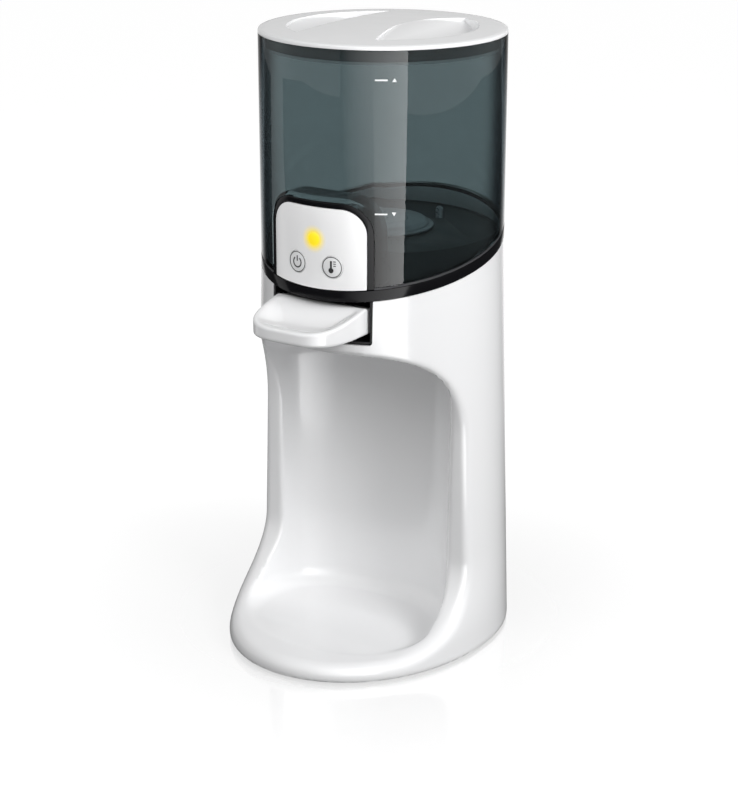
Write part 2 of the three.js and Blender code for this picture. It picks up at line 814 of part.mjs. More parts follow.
function lidCap() {
  const domeSteps = 5;
  const dome = Array.from({ length: domeSteps + 1 }, (_, i) => {
    const radius = ((tankRadius - lidEdgeRadius) * i) / domeSteps;
    return [radius, rimTop + lidRise * (1 - Math.pow(radius / tankRadius, 2))];
  });
  const top = turned([[0, lidUnder], [tankRadius, lidUnder], [tankRadius, rimTop - lidEdgeRadius],
    ...dome.toReversed()]);
  const skirt = turned([[lidSkirtRadius - lidSkirtWall, lidUnder + lidEdgeRadius],
    [lidSkirtRadius - lidSkirtWall, lidUnder - lidSkirtDepth], [lidFlangeRadius, lidUnder - lidSkirtDepth],
    [lidFlangeRadius, lidUnder - lidSkirtDepth + lidFlangeHeight],
    [lidSkirtRadius, lidUnder - lidSkirtDepth + lidFlangeHeight], [lidSkirtRadius, lidUnder + lidEdgeRadius]]);
  const underTop = disc(tankRadius, 0, rimTop);
  const pans = lidPocket(-1, lidPocketWall).add(lidPocket(1, lidPocketWall)).intersect(underTop);
  return top.add(skirt).add(pans).subtract(lidPocket(-1, 0)).subtract(lidPocket(1, 0));
}

// Control panel and what lies behind it
const panelOutline = (margin) => arch(panelHalfWidth + margin, 0, panelTop + margin, panelCorner + margin);
const panelRise = bandHeight + 2 * gap;
const buttonCentres = [-buttonOffset, buttonOffset];
const lookIn = (radius, x, z, front, back, steps = smallSteps) => bar(radius, [x, front, z], [x, back, z], steps);

function panelHousing() {
  const outer = facing(panelOutline(surroundWidth), -far, housingBack).intersect(disc(tankRadius - gap, 0, sky));
  const room = facing(panelOutline(gap), -far, housingBack - housingBackWall);
  const posts = [-1, 1].flatMap((side) => [controlBoardBottom, controlBoardTop].map((edge) => {
    const x = side * (controlBoardHalfWidth - boardPostInset);
    const z = edge + Math.sign(lensHeight - edge) * boardPostInset;
    return lookIn(boardPostRadius, x, z, controlBoardFront + boardThickness + gap, housingBack - gap, boltSteps);
  }));
  return outer.subtract(room).add(wasm.Manifold.union(posts)).intersect(aboveSeam(panelRise));
}

function panelFace() {
  const skin = ringOf(tankRadius - panelThickness, tankRadius, 0, sky);
  const holes = buttonCentres.map((x) => lookIn(buttonRadius + gap, x, buttonHeight, -far, 0));
  return facing(panelOutline(0), -far, housingBack)
    .intersect(skin)
    .subtract(wasm.Manifold.union(holes))
    .subtract(lookIn(lensRadius + gap, 0, lensHeight, -far, 0))
    .intersect(aboveSeam(panelRise));
}

const flangeBack = buttonFlangeFront + buttonFlangeThickness;
const switchFront = controlBoardFront - gap - switchDepth;
function button() {
  const cap = lookIn(buttonRadius, buttonOffset, buttonHeight, -far, buttonFlangeFront)
    .intersect(disc(tankRadius + gap, 0, sky));
  return cap
    .add(lookIn(buttonFlangeRadius, buttonOffset, buttonHeight, buttonFlangeFront, flangeBack))
    .add(lookIn(buttonPostRadius, buttonOffset, buttonHeight, flangeBack, switchFront - gap - buttonTravel, boltSteps));
}

function indicatorLens() {
  return lookIn(lensRadius, 0, lensHeight, -far, lensDepth - tankRadius)
    .intersect(disc(tankRadius, 0, sky));
}

const controlBoard = () =>
  block(-controlBoardHalfWidth, controlBoardHalfWidth, controlBoardFront, controlBoardFront + boardThickness,
    controlBoardBottom, controlBoardTop);

const tactSwitch = () =>
  block(-switchSize / 2, switchSize / 2, switchFront, controlBoardFront - gap, -switchSize / 2, switchSize / 2);

const indicatorLed = () =>
  lookIn(ledRadius, 0, lensHeight, lensDepth - tankRadius + gap, controlBoardFront - gap, boltSteps);

// Flat cable along a side-view path
function ribbon(path) {
  const half = ribbonThickness / 2;
  const side = (sign) => path.map(([y, z], i) => {
    const before = path[Math.max(i - 1, 0)];
    const after = path[Math.min(i + 1, path.length - 1)];
    const along = new THREE.Vector2(after[0] - before[0], after[1] - before[1]).normalize();
    return [y - sign * along.y * half, z + sign * along.x * half];
  });
  return sideways([...side(1), ...side(-1).toReversed()], ribbonLeft, ribbonRight);
}

function panelCable() {
  const down = controlBoardFront + boardThickness + gap + ribbonThickness / 2;
  return ribbon([[down, ribbonTop], [down, ribbonRun], [ribbonBack, ribbonRun], [ribbonBack, powerBoardTop + gap]]);
}

// Heater under the platform
const plateUnder = plateTop - plateThickness;
function heatingPlate() {
  const flangeTop = platformTop + gap + plateFlangeThickness;
  const inner = plateRadius - plateThickness;
  return turned([[0, plateTop], [plateRadius - plateEdgeRadius, plateTop], [plateRadius, plateTop - plateEdgeRadius],
    [plateRadius, flangeTop], [plateFlangeRadius, flangeTop], [plateFlangeRadius, platformTop + gap],
    [inner, platformTop + gap], [inner, plateUnder - plateEdgeRadius / 2], [inner - plateEdgeRadius / 2, plateUnder],
    [0, plateUnder]], 0, 0, roundSteps / 2);
}

function heatingElement() {
  const z = plateUnder - gap - elementWire;
  const steps = 12;
  const arcShare = 0.86;
  const ring = Array.from({ length: steps + 1 }, (_, i) => {
    const angle = ((i / steps) * 2 - 1) * Math.PI * arcShare;
    return [elementRadius * Math.cos(angle), elementRadius * Math.sin(angle), z];
  });
  return bent(elementWire, ring, 2 * steps, boltSteps - 3);
}

const thermostat = () =>
  disc(thermostatRadius, plateUnder - gap - thermostatHeight, plateUnder - gap, 0, 0, smallSteps);

function thermalFuse() {
  const z = plateUnder - gap - fuseRadius;
  return bar(fuseRadius, [-fuseLength / 2, fuseOffset, z], [fuseLength / 2, fuseOffset, z], boltSteps);
}

function temperatureSensor() {
  const under = platformTop - platformWall - gap;
  return turned([[0, probeTop], [probeRadius / 2, probeTop], [probeRadius, probeTop - probeRadius / 2],
    [probeRadius, under], [probeFlangeRadius, under], [probeFlangeRadius, under - probeFlangeThickness],
    [probeRadius, under - probeFlangeThickness], [probeRadius, under - probeTail], [0, under - probeTail]],
  probeX, probeY, boltSteps);
}

// Gravity valve
const valveTop = platformTop - platformWall - gap;
const seatTop = outletTop + seatHeight;
function valveBody() {
  const bore = turned([[0, valveBottom], [guideRadius, valveBottom], [guideRadius, valveBottom + guideHeight],
    [outletRadius, valveBottom + guideHeight], [outletRadius, outletTop], [seatRadius, outletTop],
    [seatRadius, seatTop], [chamberRadius, seatTop], [chamberRadius, valveTop], [0, valveTop]],
  0, spoutY, smallSteps);
  const portEnd = spoutY + portReach;
  return disc(valveRadius, valveBottom, valveTop, 0, spoutY, 2 * smallSteps)
    .add(bar(portRadius, [0, spoutY, portHeight], [0, portEnd, portHeight], boltSteps))
    .subtract(bar(portBore, [0, spoutY, portHeight], [0, portEnd + overrun, portHeight], boltSteps))
    .subtract(bore);
}

const discBottom = seatTop + gap;
const discTop = discBottom + discHeight;
function valvePlunger() {
  const footTop = stemBottom + stemFootHeight;
  return turned([[0, stemBottom], [stemFootRadius, stemBottom], [stemFootRadius, footTop], [stemRadius, footTop],
    [stemRadius, discBottom], [discRadius, discBottom], [discRadius, discTop], [pilotRadius, discTop],
    [pilotRadius, discTop + pilotHeight], [0, discTop + pilotHeight]], 0, spoutY, smallSteps);
}

// Open coil: one tube swept along a helix, with closed ends
function coil(radius, wire, turns, bottom, top) {
  const stepsPerTurn = 10;
  const sides = 6;
  const steps = turns * stepsPerTurn;
  const rings = Array.from({ length: steps + 1 }, (_, i) => {
    const angle = (i / stepsPerTurn) * 2 * Math.PI;
    const height = bottom + wire / 2 + ((top - bottom - wire) * i) / steps;
    return Array.from({ length: sides }, (_, k) => {
      const around = (-k / sides) * 2 * Math.PI;
      const reach = radius + (wire / 2) * Math.cos(around);
      return [reach * Math.sin(angle), spoutY - reach * Math.cos(angle), height + (wire / 2) * Math.sin(around)];
    });
  });
  return lofted(rings);
}

function valveStrainer() {
  const outer = chamberRadius - gap;
  const holes = Array.from({ length: 4 }, (_, i) => {
    const angle = (i * Math.PI) / 2;
    const [x, y] = [strainerPitch * Math.cos(angle), spoutY + strainerPitch * Math.sin(angle)];
    return disc(strainerHole, 0, sky, x, y, boltSteps);
  });
  return disc(outer, strainerBottom, strainerBottom + strainerThickness, 0, spoutY, smallSteps)
    .subtract(wasm.Manifold.union(holes));
}

const ductBottom = bayCeiling + bodyWall + gap;
function spoutNozzle() {
  const ductTop = ductBottom + ductHeight;
  const front = spoutY - ductHalfWidth;
  return block(-ductHalfWidth, ductHalfWidth, front, ductBack, ductBottom, ductTop)
    .add(disc(spoutRadius, spoutTip, ductBottom + ductWall, 0, spoutY, smallSteps))
    .add(disc(barbRadius, ductBottom + ductWall, barbTop, 0, barbY, boltSteps))
    .subtract(block(ductWall - ductHalfWidth, ductHalfWidth - ductWall, front + ductWall, ductBack - ductWall,
      ductBottom + ductWall, ductTop - ductWall))
    .subtract(disc(spoutBore, 0, ductBottom + 2 * ductWall, 0, spoutY, smallSteps))
    .subtract(disc(barbBore, ductBottom + 2 * ductWall, sky, 0, barbY, boltSteps));
}

function outletTube() {
  const start = spoutY + portReach + gap;
  const down = barbTop + gap;
  const elbow = [[0, start, portHeight], [0, start + hoseRadius / 2, portHeight],
    [0, barbY - hoseRadius / 4, portHeight - hoseRadius / 2], [0, barbY, portHeight - hoseRadius * 2],
    [0, barbY, down]];
  const hoseSteps = 10;
  return bent(hoseRadius, elbow, hoseSteps, boltSteps - 2)
    .subtract(bent(hoseBore, elbow.map(([x, y, z], i) =>
      [x, i === 0 ? y - gap : y, i === elbow.length - 1 ? z - gap : z]), hoseSteps, boltSteps - 2));
}

// Pocket that the lever swings in
function leverHousing() {
  const floorTop = pocketBottom + pocketWall;
  const room = block(pocketWall - pocketHalfWidth, pocketHalfWidth - pocketWall, -far, pocketBack - pocketWall,
    floorTop, sky);
  const slot = block(-armSlotHalfWidth, armSlotHalfWidth, -far, 0, floorTop, leverInnerTop);
  const back = facing(arch(pocketHalfWidth, -sky, -pocketBottom, leverEdge), -far, pocketBack).mirror([0, 0, 1]);
  const bushReach = leverHalfWidth + gap + bushSeat;
  const bosses = bar(pocketBossRadius, [-bushReach, pinY, pinZ], [bushReach, pinY, pinZ])
    .intersect(disc(shoulderRadius - bodyWall - gap, 0, sky));
  const feet = [-1, 1].map((side) => {
    const reach = side * (pocketHalfWidth - bossRadius);
    return disc(bossRadius / 2, bayCeiling + bodyWall + gap, floorTop, reach, pocketBack - bossRadius, boltSteps);
  });
  return back
    .intersect(disc(shoulderRadius, 0, sky))
    .add(bosses)
    .add(wasm.Manifold.union(feet))
    .subtract(room)
    .subtract(slot)
    .subtract(bar(bushRadius + gap, [-far, pinY, pinZ], [far, pinY, pinZ]))
    .subtract(block(-far, far, alcoveBack + alcoveWall, far, 0, sky).intersect(aboveSeam(-platformSkirtDrop - gap)))
    .subtract(block(ribbonLeft - 2 * gap, ribbonRight + 2 * gap, pinY, far, ribbonNotch, sky))
    .intersect(belowSeam(-gap));
}

function leverBush(side) {
  const inner = side * (pocketHalfWidth - pocketWall + gap / 2);
  const outer = side * (leverHalfWidth + bushSeat);
  return bar(bushRadius, [inner, pinY, pinZ], [outer, pinY, pinZ])
    .subtract(bar(pinRadius + gap, [-far, pinY, pinZ], [far, pinY, pinZ], boltSteps));
}

const leverPin = () => {
  const reach = leverHalfWidth + bushSeat - gap;
  return bar(pinRadius, [-reach, pinY, pinZ], [reach, pinY, pinZ], boltSteps);
};

// Paddle outline in plan, a squared-off half ellipse in front of its root
function paddlePlan(inset) {
  const steps = 28;
  const wide = leverHalfWidth - inset;
  const deep = leverRoot - leverFront - inset;
  const power = 2 / leverPlanPower;
  const curve = Array.from({ length: steps + 1 }, (_, i) => {
    const angle = Math.PI + (i / steps) * Math.PI;
    const [c, s] = [Math.cos(angle), Math.sin(angle)];
    return [wide * Math.sign(c) * Math.pow(Math.abs(c), power),
      leverRoot + deep * Math.sign(s) * Math.pow(Math.abs(s), power)];
  });
  return curve;
}

function leverPaddle() {
  const back = leverInnerBack;
  const sides = (inset) => [...paddlePlan(inset), [leverHalfWidth - inset, back], [inset - leverHalfWidth, back]];
  const steps = [[0, 1], [0.45, 0.16], [1, 0]];
  const rings = steps.map(([rise, inset]) =>
    sides(inset * leverEdge).map(([x, y]) => [x, y, leverBottom + rise * leverEdge]));
  rings.push(sides(0).map(([x, y]) => [x, y, leverRootTop + leverEdge]));
  const slope = sideways([[-far, leverBottom - leverEdge], [back + gap, leverBottom - leverEdge],
    [back + gap, leverInnerTop], [leverRoot + leverRim, leverRootTop - leverEdge], [leverRoot, leverRootTop],
    [leverFront, leverFrontTop], [-far, leverFrontTop - leverRim]], -far, far);
  const dishLow = leverFrontTop - leverRim;
  const dishPlan = paddlePlan(leverRim);
  const dish = lofted([
    paddlePlan(leverRim + leverDish).map(([x, y]) => [x, y, dishLow]),
    paddlePlan(leverRim + leverDish / 3).map(([x, y]) => [x, y, dishLow + leverDish / 3]),
    dishPlan.map(([x, y]) => [x, y, dishLow + leverDish]),
    dishPlan.map(([x, y]) => [x, y, sky]),
  ]).intersect(sideways([[-far, 0], [leverRoot - leverRim, leverBottom], [leverRoot - leverRim, sky], [-far, sky]],
    -far, far));
  const arm = block(-armHalfWidth, armHalfWidth, pinY, spoutY, armBottom, rollerHeight + rollerRadius - gap)
    .add(bar(rollerRadius, [-armHalfWidth, spoutY, rollerHeight], [armHalfWidth, spoutY, rollerHeight], boltSteps));
  return lofted(rings)
    .intersect(slope)
    .subtract(dish)
    .add(arm)
    .subtract(bar(pinRadius + gap, [-far, pinY, pinZ], [far, pinY, pinZ], boltSteps));
}

// Power board, its parts and the mains inlet
function powerBoard() {
  const holes = standoffPlaces.map(([x, y]) => disc(boardScrewRadius + gap, 0, sky, x, y, boltSteps));
  return block(-powerBoardHalfWidth, powerBoardHalfWidth, powerBoardFront, powerBoardBack,
    powerBoardHeight, powerBoardTop).subtract(wasm.Manifold.union(holes));
}

function powerInlet() {
  const middle = (inletBottom + inletTop) / 2;
  const floor = inletFace - socketDepth;
  const side = socketHalfWidth - socketHalfHeight;
  const socket = new THREE.Shape();
  socket.absarc(side, middle, socketHalfHeight, -Math.PI / 2, Math.PI / 2);
  socket.absarc(-side, middle, socketHalfHeight, Math.PI / 2, (3 * Math.PI) / 2);
  const pins = [-1, 1].map((sign) => {
    const x = (sign * inletPinPitch) / 2;
    return bar(inletPinRadius, [x, floor - ductWall, middle], [x, floor + inletPinLength, middle], boltSteps);
  });
  return block(-inletHalfWidth, inletHalfWidth, inletFront, inletFace, inletBottom, inletTop)
    .subtract(facing(socket, floor, far))
    .add(wasm.Manifold.union(pins));
}

const partsBottom = powerBoardTop + gap;
const transformer = () =>
  block(-corridor - transformerWidth, -corridor, partsFront, partsFront + transformerDepth,
    partsBottom, partsBottom + transformerHeight);
const relay = () =>
  block(corridor, corridor + relayWidth, partsFront, partsFront + relayDepth, partsBottom, partsBottom + relayHeight);
const capacitor = () =>
  disc(capacitorRadius, partsBottom, partsBottom + capacitorHeight, corridor + relayWidth / 2,
    partsFront + relayDepth + corridor + capacitorRadius, smallSteps);

const wireSteps = 20;
const wireSides = 6;
function heaterWires() {
  const top = plateUnder - gap - thermostatHeight - gap;
  const low = partsBottom;
  return bent(wireRadius, [[0, wireY, low], [0, wireY, (low + wireBendHeight) / 2], [0, wireY, wireBendHeight],
    [0, wireY / 3, (top + wireBendHeight) / 2], [0, 0, top - 2 * wireRadius], [0, 0, top]], wireSteps, wireSides);
}

function inletWires() {
  const height = (inletBottom + inletTop) / 2;
  const start = inletFront - gap;
  const turn = 2 * wireRadius;
  return bent(wireRadius, [[0, start, height], [0, start - turn, height],
    [0, start - 3 * turn, (height + partsBottom) / 2 + turn / 2], [0, start - 3 * turn - wireRadius, partsBottom + turn],
    [0, start - 3 * turn - wireRadius, partsBottom]], wireSteps / 2, wireSides);
}

// Assembly
const warmer = new THREE.Group();

function piece(name, shape, material, holder = warmer) {
  const mesh = new THREE.Mesh(shape.isBufferGeometry ? shape : geometryOf(shape), material);
  mesh.name = name;
  holder.add(mesh);
  return mesh;
}

piece("body_shell", bodyShell(), whitePlastic);
piece("base_plate", basePlate(), greyPlastic);
piece("collar_ring", collarRing(), blackPlastic);
piece("heater_platform", heaterPlatform(), darkPlastic);
piece("tank_gasket", tankForm(gasketRise).intersect(belowSeam(gasketRise + gasketThickness)), silicone);
piece("tank_wall", tankForm(tankRise), smokyClear);

const lid = new THREE.Group();
warmer.add(lid);
piece("lid_cap", lidCap(), whitePlastic, lid);
const sealBottom = lidUnder - lidSkirtDepth + lidFlangeHeight + gap;
piece("lid_seal", ringOf(lidSkirtRadius + gap, lidSealRadius, sealBottom, sealBottom + lidSealHeight), silicone, lid);

piece("panel_housing", panelHousing(), blackPlastic);
piece("panel_face", panelFace(), whitePlastic);
piece("power_button", button().mirror([1, 0, 0]), whitePlastic);
piece("temp_button", button(), whitePlastic);
piece("indicator_lens", indicatorLens(), yellowLight);
piece("indicator_led", indicatorLed(), yellowLight);
piece("control_board", controlBoard(), boardGreen);
["power_switch", "temp_switch"].forEach((name, i) => {
  piece(name, tactSwitch(), darkPlastic).position.set(buttonCentres[i], 0, buttonHeight);
});

piece("heating_plate", heatingPlate(), steel);
piece("heating_element", heatingElement(), steel);
piece("thermostat", thermostat(), darkPlastic);
piece("thermal_fuse", thermalFuse(), greyPlastic);
piece("temperature_sensor", temperatureSensor(), steel);

piece("valve_body", valveBody(), greyPlastic);
piece("valve_plunger", valvePlunger(), silicone);
piece("valve_spring", coil(springRadius, springWire, springTurns, discTop + gap, strainerBottom - gap), steel);
piece("valve_strainer", valveStrainer(), greyPlastic);
piece("spout_nozzle", spoutNozzle(), greyPlastic);
piece("outlet_tube", outletTube(), silicone);

piece("lever_housing", leverHousing(), blackPlastic);
piece("lever_paddle", leverPaddle(), whitePlastic);
piece("lever_pin", leverPin(), steel);
piece("lever_bush_left", leverBush(-1), greyPlastic);
piece("lever_bush_right", leverBush(1), greyPlastic);

piece("power_board", powerBoard(), boardGreen);
piece("power_inlet", powerInlet(), blackPlastic);
piece("transformer", transformer(), darkPlastic);
piece("relay", relay(), darkPlastic);
piece("capacitor", capacitor(), darkPlastic);
piece("heater_wires", heaterWires(), rubber);
piece("inlet_wires", inletWires(), rubber);
piece("panel_cable", panelCable(), greyPlastic);

screwPlaces.forEach(([x, y], i) => {
  const shape = screw(screwHeadRadius, screwHeadHeight, screwRadius, screwLength);
  piece(`base_screw_${i + 1}`, shape, steel).position.set(x, y, plateBottom);
});
standoffPlaces.forEach(([x, y], i) => {
  const shape = screw(boardScrewHeadRadius, boardScrewHeadHeight, boardScrewRadius, boardScrewLength);
  const mesh = piece(`board_screw_${i + 1}`, shape, steel);
  mesh.position.set(x, y, powerBoardTop + gap + boardScrewHeadHeight);
  mesh.rotation.x = Math.PI;
});
const padPlaces = [
  [frontPadX, frontPadY],
  [-frontPadX, frontPadY],
  [padRing * Math.SQRT1_2, padRing * Math.SQRT1_2],
  [-padRing * Math.SQRT1_2, padRing * Math.SQRT1_2],
];
padPlaces.forEach(([x, y], i) => {
  piece(`foot_pad_${i + 1}`, disc(footPadRadius, 0, plateBottom - gap, x, y, smallSteps), rubber);
});

const extent = new THREE.Box3().setFromObject(warmer);
warmer.position.y = -(extent.min.y + extent.max.y) / 2;

export default warmer;
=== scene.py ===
"""Instant bottle warmer: fine surfaces, finishes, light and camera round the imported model.

Sizes are in millimetres about the tank's upright axis, and MM turns them into metres.
"""

import math
from itertools import product

import bpy
import numpy as np
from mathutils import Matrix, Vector


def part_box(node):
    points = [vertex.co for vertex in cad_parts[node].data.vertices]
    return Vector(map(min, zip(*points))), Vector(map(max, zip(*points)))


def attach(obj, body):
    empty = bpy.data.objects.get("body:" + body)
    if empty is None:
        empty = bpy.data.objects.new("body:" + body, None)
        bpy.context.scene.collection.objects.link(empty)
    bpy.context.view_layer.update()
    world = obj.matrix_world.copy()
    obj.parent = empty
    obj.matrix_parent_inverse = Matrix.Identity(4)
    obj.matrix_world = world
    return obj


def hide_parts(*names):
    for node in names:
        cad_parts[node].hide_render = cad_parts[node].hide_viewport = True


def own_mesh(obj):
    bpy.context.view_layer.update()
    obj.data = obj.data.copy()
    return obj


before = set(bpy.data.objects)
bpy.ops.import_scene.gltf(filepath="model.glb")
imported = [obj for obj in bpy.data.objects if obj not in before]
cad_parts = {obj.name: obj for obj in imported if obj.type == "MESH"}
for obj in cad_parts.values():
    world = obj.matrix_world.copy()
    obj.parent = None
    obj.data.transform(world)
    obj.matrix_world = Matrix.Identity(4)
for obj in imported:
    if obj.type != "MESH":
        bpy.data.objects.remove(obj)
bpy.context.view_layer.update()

MM = 0.001
LID_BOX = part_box("lid_cap")
AXIS_Y = (LID_BOX[0].y + LID_BOX[1].y) / 2 / MM

# Body
SHOULDER_RADIUS = 73.8
FOOT_REAR_RADIUS = 81
FOOT_REACH = 34.2
FOOT_WRAP_POWER = 8.6
FLARE_START = 14
FLARE_END = 62
BODY_BOTTOM = 0.8
BODY_WALL = 2.6
UNDER_RADIUS = 2.5
FOOT_EDGE_RADIUS = 7
LIP_RADIUS = 3.6
INNER_LIP_RADIUS = 1.4
BOTTOM_CUT = 1.6
BODY_ANGLE = 40

# Bottle bay
BAY_HALF_WIDTH = 65
BAY_WIDENING = 3
BAY_DEPTH_RADIUS = 52
BAY_CENTRE = -45
BAY_POWER = 2.4
BAY_FLOOR = 12
BAY_CEILING = 196
BAY_FLOOR_FILLET = 9
BAY_CEILING_FILLET = 30
MOUTH_EDGE = -22
MOUTH_CORNER_REACH = 58
MOUTH_CORNER_DROP = 60
MOUTH_CORNER_POWER = 2.2
RIM_REACH = 60.5
RIM_POWER = 1.9

# Slanted seam, band and gasket
SEAM_HEIGHT = 244.2
SEAM_TILT = math.radians(12.79)
SEAM_GAP = 0.3
BAND_HEIGHT = 6.6
BAND_INNER_RADIUS = 68.9
LINING_RADIUS = 70
LINING_DEPTH = 4.5
LINING_GAP = 0.02
LINING_EDGE = 0.3
BAND_EDGE = 0.5
BAND_POCKET_GAP = 0.6
RIBBON_HALF_WIDTH = 21.6
RIBBON_FRONT = -61.6
SPIGOT_RADIUS = 71
SPIGOT_DEPTH = 5
SPIGOT_DROP = 1
GASKET_HEIGHT = 1.2
PLATFORM_TOP = 257.5

# Tank
TANK_RADIUS = 74
TANK_WALL = 3
TANK_TOP = 374.5
ALCOVE_WALL = 2.2
TANK_EDGE = 0.6
TANK_WELD = 0.05
MARK_WIDTH = 7.2
MARK_HEIGHT = 0.9
MARK_AZIMUTH = math.radians(32)
MARK_SIGN_AZIMUTH = math.radians(37.7)
MARK_SIGN_HALF = 1.3
MARK_SIGN_TIP = 0.9
MARK_SIGN_FOOT = 0.8
MARK_STEPS = 8
MAX_MARK = 358.3
MIN_MARK = 281.5
PRINT_THICKNESS = 0.08
PRINT_GAP = 0.01

# Lid
LID_RIM_HEIGHT = 2.2
LID_RISE = 2.5
LID_SKIRT_RADIUS = 69.6
LID_SKIRT_WALL = 2
LID_SKIRT_DEPTH = 8.8
LID_FLANGE_RADIUS = 70.4
LID_FLANGE_HEIGHT = 1.6
LID_RIM_STEP = 1
LID_RIM_CORNER = 0.3
LID_RINGS = 24
LID_EDGE = 0.7
LID_WELD = 0.02
LID_ANGLE = 25
SEAL_END_GAP = 0.4
SEAL_GAP = 0.03
SEAL_OVERHANG = 0.3
SEAL_EDGE = 0.3
POCKET_RADIUS = 57
POCKET_DEPTH = 9.5
POCKET_WALL = 2
POCKET_CAP = 0.5
POCKET_UNDERCUT = 3
POCKET_OVERCUT = 20
BAR_LEFT = 27
BAR_RIGHT = 11.6
BAR_RIGHT_END = 27
BAR_RIGHT_SKEW = 20
RIDGE = 46
LEAF_OVERRUN = 6
LEAF_SIDE = 5
LEAF_UNDERCUT = 4
LEAF_OVERCUT = 30

# Control panel
PANEL_HALF_WIDTH = 31.8
PANEL_TOP = 283
PANEL_CORNER = 14.5
PANEL_THICKNESS = 2.5
SURROUND_WIDTH = 3.7
HOUSING_BACK = -56.4
HOUSING_BACK_WALL = 1.8
BUTTON_OFFSET = 12.2
BUTTON_HEIGHT = 248.6
BUTTON_RADIUS = 6.5
BUTTON_FLANGE_FRONT = -68.3
BUTTON_FLANGE_RADIUS = 7.7
BUTTON_FLANGE_THICKNESS = 1.5
LENS_RADIUS = 4
LENS_HEIGHT = 264
LENS_DEPTH = 5
LENS_GAP = 0.05
LENS_EDGE = 0.1
HOUSING_EDGE = 0.4
PANEL_EDGE = 0.6
BUTTON_EDGE = 0.2
BUTTON_LAP = 0.5
BUTTON_POST_RADIUS = 2.5
BUTTON_POST_BACK = -66.4
RING_INNER = 5.8
RING_OUTER = 6.25

# Lever and its pocket
POCKET_HALF_WIDTH = 35
POCKET_BACK = -50
WINDOW_BOTTOM = 202.8
WINDOW_GAP = 0.35
WINDOW_CORNER = 2.2
WINDOW_SEGMENTS = 6
LEVER_HALF_WIDTH = 31.6
LEVER_ROOT = -67
LEVER_FRONT = -107
LEVER_INNER_BACK = -54
LEVER_BOTTOM = 208.5
LEVER_ROOT_TOP = 224.9
LEVER_FRONT_TOP = 216.4
LEVER_INNER_TOP = 222
LEVER_POWER = 3.4
LEVER_RIM = 2.2
LEVER_DISH = 6.5
LEVER_DISH_REACH = 17
LEVER_DISH_POWER = 0.75
LEVER_EDGE = 2.2
PIN_Y = -58
PIN_Z = 219
PIN_BORE = 2.3
BORE_HALF_LENGTH = 60
ARM_HALF_WIDTH = 4
ARM_BOTTOM = 207.3
ARM_TOP = 210.6
ROLLER_Y = -38
ROLLER_Z = 208.9
ROLLER_RADIUS = 2
ARM_EDGE = 0.3

# Valve, spout and inlet
SPOUT_Y = -38
SPOUT_HOLE = 4.9
SPOUT_HOLE_BELOW = 20
SPOUT_HOLE_ABOVE = 8
INLET_HALF_WIDTH = 13.3
INLET_FRONT = 62.5
INLET_BOTTOM = 19.7
INLET_TOP = 36.3

# Stock that is trimmed and cutters that reach past it
STOCK_LOW = 150
STOCK_HIGH = 330
ALCOVE_LOW = 120
CUTTER_LOW = 100
CUTTER_HIGH = 400
HOLLOW_HIGH = 420
BRIDGE_LOW = 50
BRIDGE_HIGH = 450
OVERRUN = 10
FAR = 160

# Fineness
ROUND_SIDES = 192
SMALL_SIDES = 64
FINE_SEGMENTS = 3
NODE_ANGLE = 30
NODE_WELD = 0.005
RING_WELD = 0.01
PRINT_WELD = 0.001
BODY_STEP = 1.9
BODY_INNER_STEP = 4
LEVER_STEP = 0.75
SLOPE_STEP = 0.02
SIDE_ROOM = 12
GRID_ROOM = 4
GRID_TOP_ROOM = 6
GRID_LOW = -3
INNER_GRID_LOW = -6
LEVER_ROOM = 2
LEVER_GRID_HALF = 35
LEVER_GRID_TOP = 230

# Camera, from the photograph's own perspective
CAMERA_AZIMUTH = math.radians(33.03)
CAMERA_ELEVATION = math.radians(18.94)
CAMERA_DISTANCE = 1.2824
CAMERA_LENS = 92.06
TARGET_HEIGHT = 0.1441
TARGET_SHIFT = -0.00825

TAN_TILT = math.tan(SEAM_TILT)
TANK_INNER = TANK_RADIUS - TANK_WALL
RIM_TOP = TANK_TOP + SEAM_GAP + LID_RIM_HEIGHT
LID_TOP = RIM_TOP + LID_RISE
GASKET_RISE = BAND_HEIGHT + SEAM_GAP
TANK_RISE = GASKET_RISE + GASKET_HEIGHT + SEAM_GAP
ALCOVE_MARGIN = SURROUND_WIDTH + SEAM_GAP


def at(x, y, z):
    """A place in the row's frame, in metres."""
    return Vector((x, y + AXIS_Y, z)) * MM


def seam(y, rise=0.0):
    return SEAM_HEIGHT + y * TAN_TILT + rise


# Camera
def aim_camera():
    """Sets the camera where the photograph was taken from."""
    side = Vector((math.cos(CAMERA_AZIMUTH), math.sin(CAMERA_AZIMUTH), 0))
    level = Vector((math.sin(CAMERA_AZIMUTH), -math.cos(CAMERA_AZIMUTH), 0))
    back = level * math.cos(CAMERA_ELEVATION) + Vector((0, 0, math.sin(CAMERA_ELEVATION)))
    target = at(0, 0, 0) + Vector((0, 0, TARGET_HEIGHT)) + side * TARGET_SHIFT
    bpy.ops.object.camera_add(location=target + back * CAMERA_DISTANCE)
    camera = bpy.context.object
    camera.rotation_euler = (-back).to_track_quat("-Z", "Y").to_euler()
    camera.data.lens = CAMERA_LENS
    camera.data.clip_start = 0.05
    bpy.context.scene.camera = camera


# Handling of pieces
def activate(piece):
    bpy.ops.object.select_all(action="DESELECT")
    piece.select_set(True)
    bpy.context.view_layer.objects.active = piece


def placed(name):
    """Names the new primitive and puts its place into its mesh."""
    piece = bpy.context.object
    piece.name = piece.data.name = name
    bpy.ops.object.transform_apply(location=True, rotation=True, scale=True)
    return piece


def rod(name, radius, length, place, turn=(0, 0, 0), sides=SMALL_SIDES):
    bpy.ops.object.select_all(action="DESELECT")
    bpy.ops.mesh.primitive_cylinder_add(
        vertices=sides, radius=radius * MM, depth=length * MM, location=place, rotation=turn
    )
    return placed(name)


